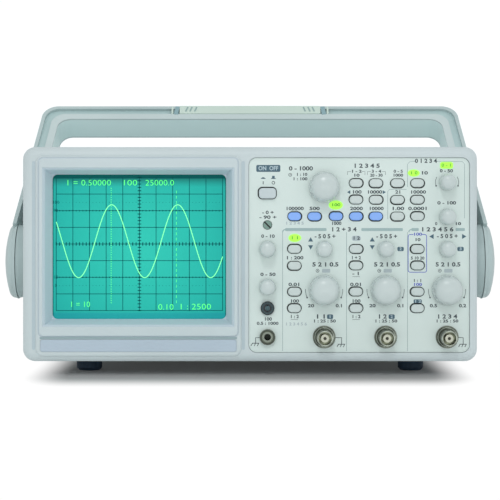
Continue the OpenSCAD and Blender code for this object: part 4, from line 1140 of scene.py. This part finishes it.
rear_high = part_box("rear_panel")[1]
cover_low, cover_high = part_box("upper_cover")
rear_y = rear_high.y
HEAD_RADIUS = 3.2 * MM
HEAD_RISE = 0.9 * MM
HEAD_EDGE = 0.4 * MM
CROSS = 3.4 * MM
CROSS_LINE = 0.7 * MM
CROSS_RISE = 0.06 * MM
heads = []
crosses = []


def screw(place, turn):
    """Cross-head screw that looks along +Y before it is turned about the upright axis."""
    bpy.ops.mesh.primitive_cylinder_add(vertices=32, radius=HEAD_RADIUS, depth=2 * HEAD_RISE)
    head = active()
    bpy.ops.object.mode_set(mode="EDIT")
    bpy.ops.mesh.select_all(action="SELECT")
    bpy.ops.mesh.bevel(offset=HEAD_EDGE, segments=2)
    bpy.ops.object.mode_set(mode="OBJECT")
    head.rotation_euler = (math.pi / 2, 0, 0)
    heads.append(place_applied(head))
    # The cross is painted shade of the recess, flat on the head's face
    arms = [
        stroke((-CROSS / 2, 0), (CROSS / 2, 0), CROSS_LINE, HEAD_RISE, CROSS_RISE),
        stroke((0, -CROSS / 2), (0, CROSS / 2), CROSS_LINE, HEAD_RISE, CROSS_RISE),
    ]
    crosses.extend(arms)
    for piece in [heads[-1]] + arms:
        piece.rotation_euler = (0, 0, turn)
        piece.location = place
        place_applied(piece)


for x, z in ((-110, 28), (110, 104), (-20, 14), (40, 118), (-40, 118), (20, 14)):
    screw(Vector((x * MM, rear_y, base_z + z * MM)), 0)
for y in (200, 308):
    for edge_x, turn in ((cover_high.x, -math.pi / 2), (cover_low.x, math.pi / 2)):
        screw(Vector((edge_x, rim_y + y * MM, base_z + 26 * MM)), turn)
joined(heads, "cover_screws", SCREW, "case")
joined(crosses, "screw_crosses", CROSS_SHADE, "case")

REAR_SOCKETS = (-96, -58)
REAR_CORE, REAR_CONTACT = 2.9 * MM, 2.8 * MM
rear_z = base_z + 92 * MM
end_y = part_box("rear_sockets")[1].y
rear_cores = []
rear_contacts = []
for x in REAR_SOCKETS:
    x = x * MM
    rear_cores.append(front_disc(x, rear_z, CORE_RADIUS, end_y - CORE_BACK, end_y - REAR_CORE))
    contact = front_disc(x, rear_z, CONTACT_RADIUS, end_y - CONTACT_BACK, end_y - REAR_CONTACT, 20)
    rear_contacts.append(contact)
joined(rear_cores, "rear_insulators", INSULATOR, "case")
joined(rear_contacts, "rear_contacts", CONTACT_SHADE, "case")


# Floor, light and camera

# Half the case's footprint, the distance from it over which the floor's painted shadow fades to white, and
# the floor's tones: as it lights the case, and as the camera sees it, dark round the case as a painted
# shadow, with a faint glow that lifts the shade under the case
FLOOR_CASE = (0.105, 0.178, 0)
FLOOR_STRETCH = (2.2, 1, 1)
FLOOR_NEAR = 0.01
FLOOR_FAR = 0.075
FLOOR_SHADE_LIFT = 0.03
FLOOR_BOUNCE = (0.95, 0.95, 0.95, 1)
FLOOR_SHADOW_SEEN = (0.34, 0.34, 0.34, 1)
FLOOR_WHITE = 1.02

# Surroundings: their tint, and their strength as light and as seen
WORLD_TINT = (0.97, 0.99, 1.0, 1)
WORLD_LIGHT = 0.79
WORLD_SEEN = 1.05

# Soft lights: place, aim, size and power
SOFTBOXES = (
    ((-0.1, -1.7, 1.15), (0, 0, 0.05), (0.28, 0.28), 5),
    ((0.9, -0.6, 1.2), (0, 0, 0.05), (1.0, 1.0), 1),
    ((0.2, -2.2, 0.12), (0, 0, 0.1), (1.8, 0.24), 2.8),
)


def add_floor():
    """Floor with a painted shadow: dark round the case where the camera looks straight at it, fading to white
    away from the case, with a faint glow that lifts the shade under it.
    """
    bpy.ops.mesh.primitive_plane_add(size=80)
    floor = active()
    floor.name = "floor"
    material, tree, shader = new_finish("floor with painted shadow")
    by_camera = tree.nodes.new("ShaderNodeLightPath").outputs["Is Camera Ray"]
    feed(tree, shader, {
        "Base Color": mixed(tree, by_camera, FLOOR_BOUNCE, FLOOR_SHADOW_SEEN), "Roughness": 1.0,
        "Specular IOR Level": 0.0, "Emission Color": (1, 1, 1, 1), "Emission Strength": FLOOR_SHADE_LIFT,
    })
    beyond = vector_step(tree, "SUBTRACT", vector_step(tree, "ABSOLUTE", object_coords(tree)), FLOOR_CASE)
    beyond = vector_step(tree, "MAXIMUM", beyond, (0, 0, 0))
    reach = vector_step(tree, "LENGTH", vector_step(tree, "MULTIPLY", beyond, FLOOR_STRETCH))
    fade = tree.nodes.new("ShaderNodeMapRange")
    fade.interpolation_type = "SMOOTHSTEP"
    feed(tree, fade, {"Value": reach, "From Min": FLOOR_NEAR, "From Max": FLOOR_FAR})
    white = tree.nodes.new("ShaderNodeEmission")
    feed(tree, white, {"Color": (1, 1, 1, 1), "Strength": FLOOR_WHITE})
    mix = tree.nodes.new("ShaderNodeMixShader")
    tree.links.new(arithmetic(tree, "MULTIPLY", fade.outputs["Result"], by_camera), mix.inputs["Fac"])
    tree.links.new(shader.outputs["BSDF"], mix.inputs[1])
    tree.links.new(white.outputs["Emission"], mix.inputs[2])
    tree.links.new(mix.outputs["Shader"], tree.nodes["Material Output"].inputs["Surface"])
    floor.data.materials.append(material)


def add_world():
    """Even light from all round, white where the camera sees it."""
    world = bpy.data.worlds.new("studio")
    bpy.context.scene.world = world
    world.use_nodes = True
    tree = world.node_tree
    paths = tree.nodes.new("ShaderNodeLightPath")
    seen = arithmetic(tree, "MAXIMUM", paths.outputs["Is Camera Ray"], paths.outputs["Is Transmission Ray"])
    strength = tree.nodes.new("ShaderNodeMapRange")
    feed(tree, strength, {"Value": seen, "To Min": WORLD_LIGHT, "To Max": WORLD_SEEN})
    background = tree.nodes["Background"]
    feed(tree, background, {"Color": WORLD_TINT, "Strength": strength.outputs["Result"]})


def add_softbox(place, target, size, power):
    bpy.ops.object.light_add(type="AREA", location=place)
    light = active()
    light.data.shape = "RECTANGLE"
    light.data.size, light.data.size_y = size
    light.data.energy = power
    light.rotation_euler = (Vector(target) - Vector(place)).to_track_quat("-Z", "Y").to_euler()


def add_camera():
    bpy.ops.object.camera_add(
        location=(0, rim_y - VIEW_DISTANCE, base_z + VIEW_HEIGHT), rotation=(math.pi / 2, 0, 0)
    )
    camera = active()
    camera.data.sensor_width = VIEW_SENSOR
    camera.data.lens = VIEW_LENS
    camera.data.shift_y = VIEW_SHIFT
    bpy.context.scene.camera = camera


add_floor()
add_world()
for place, target, size, power in SOFTBOXES:
    add_softbox(place, target, size, power)
add_camera()
bpy.context.scene.view_settings.view_transform = "Standard"
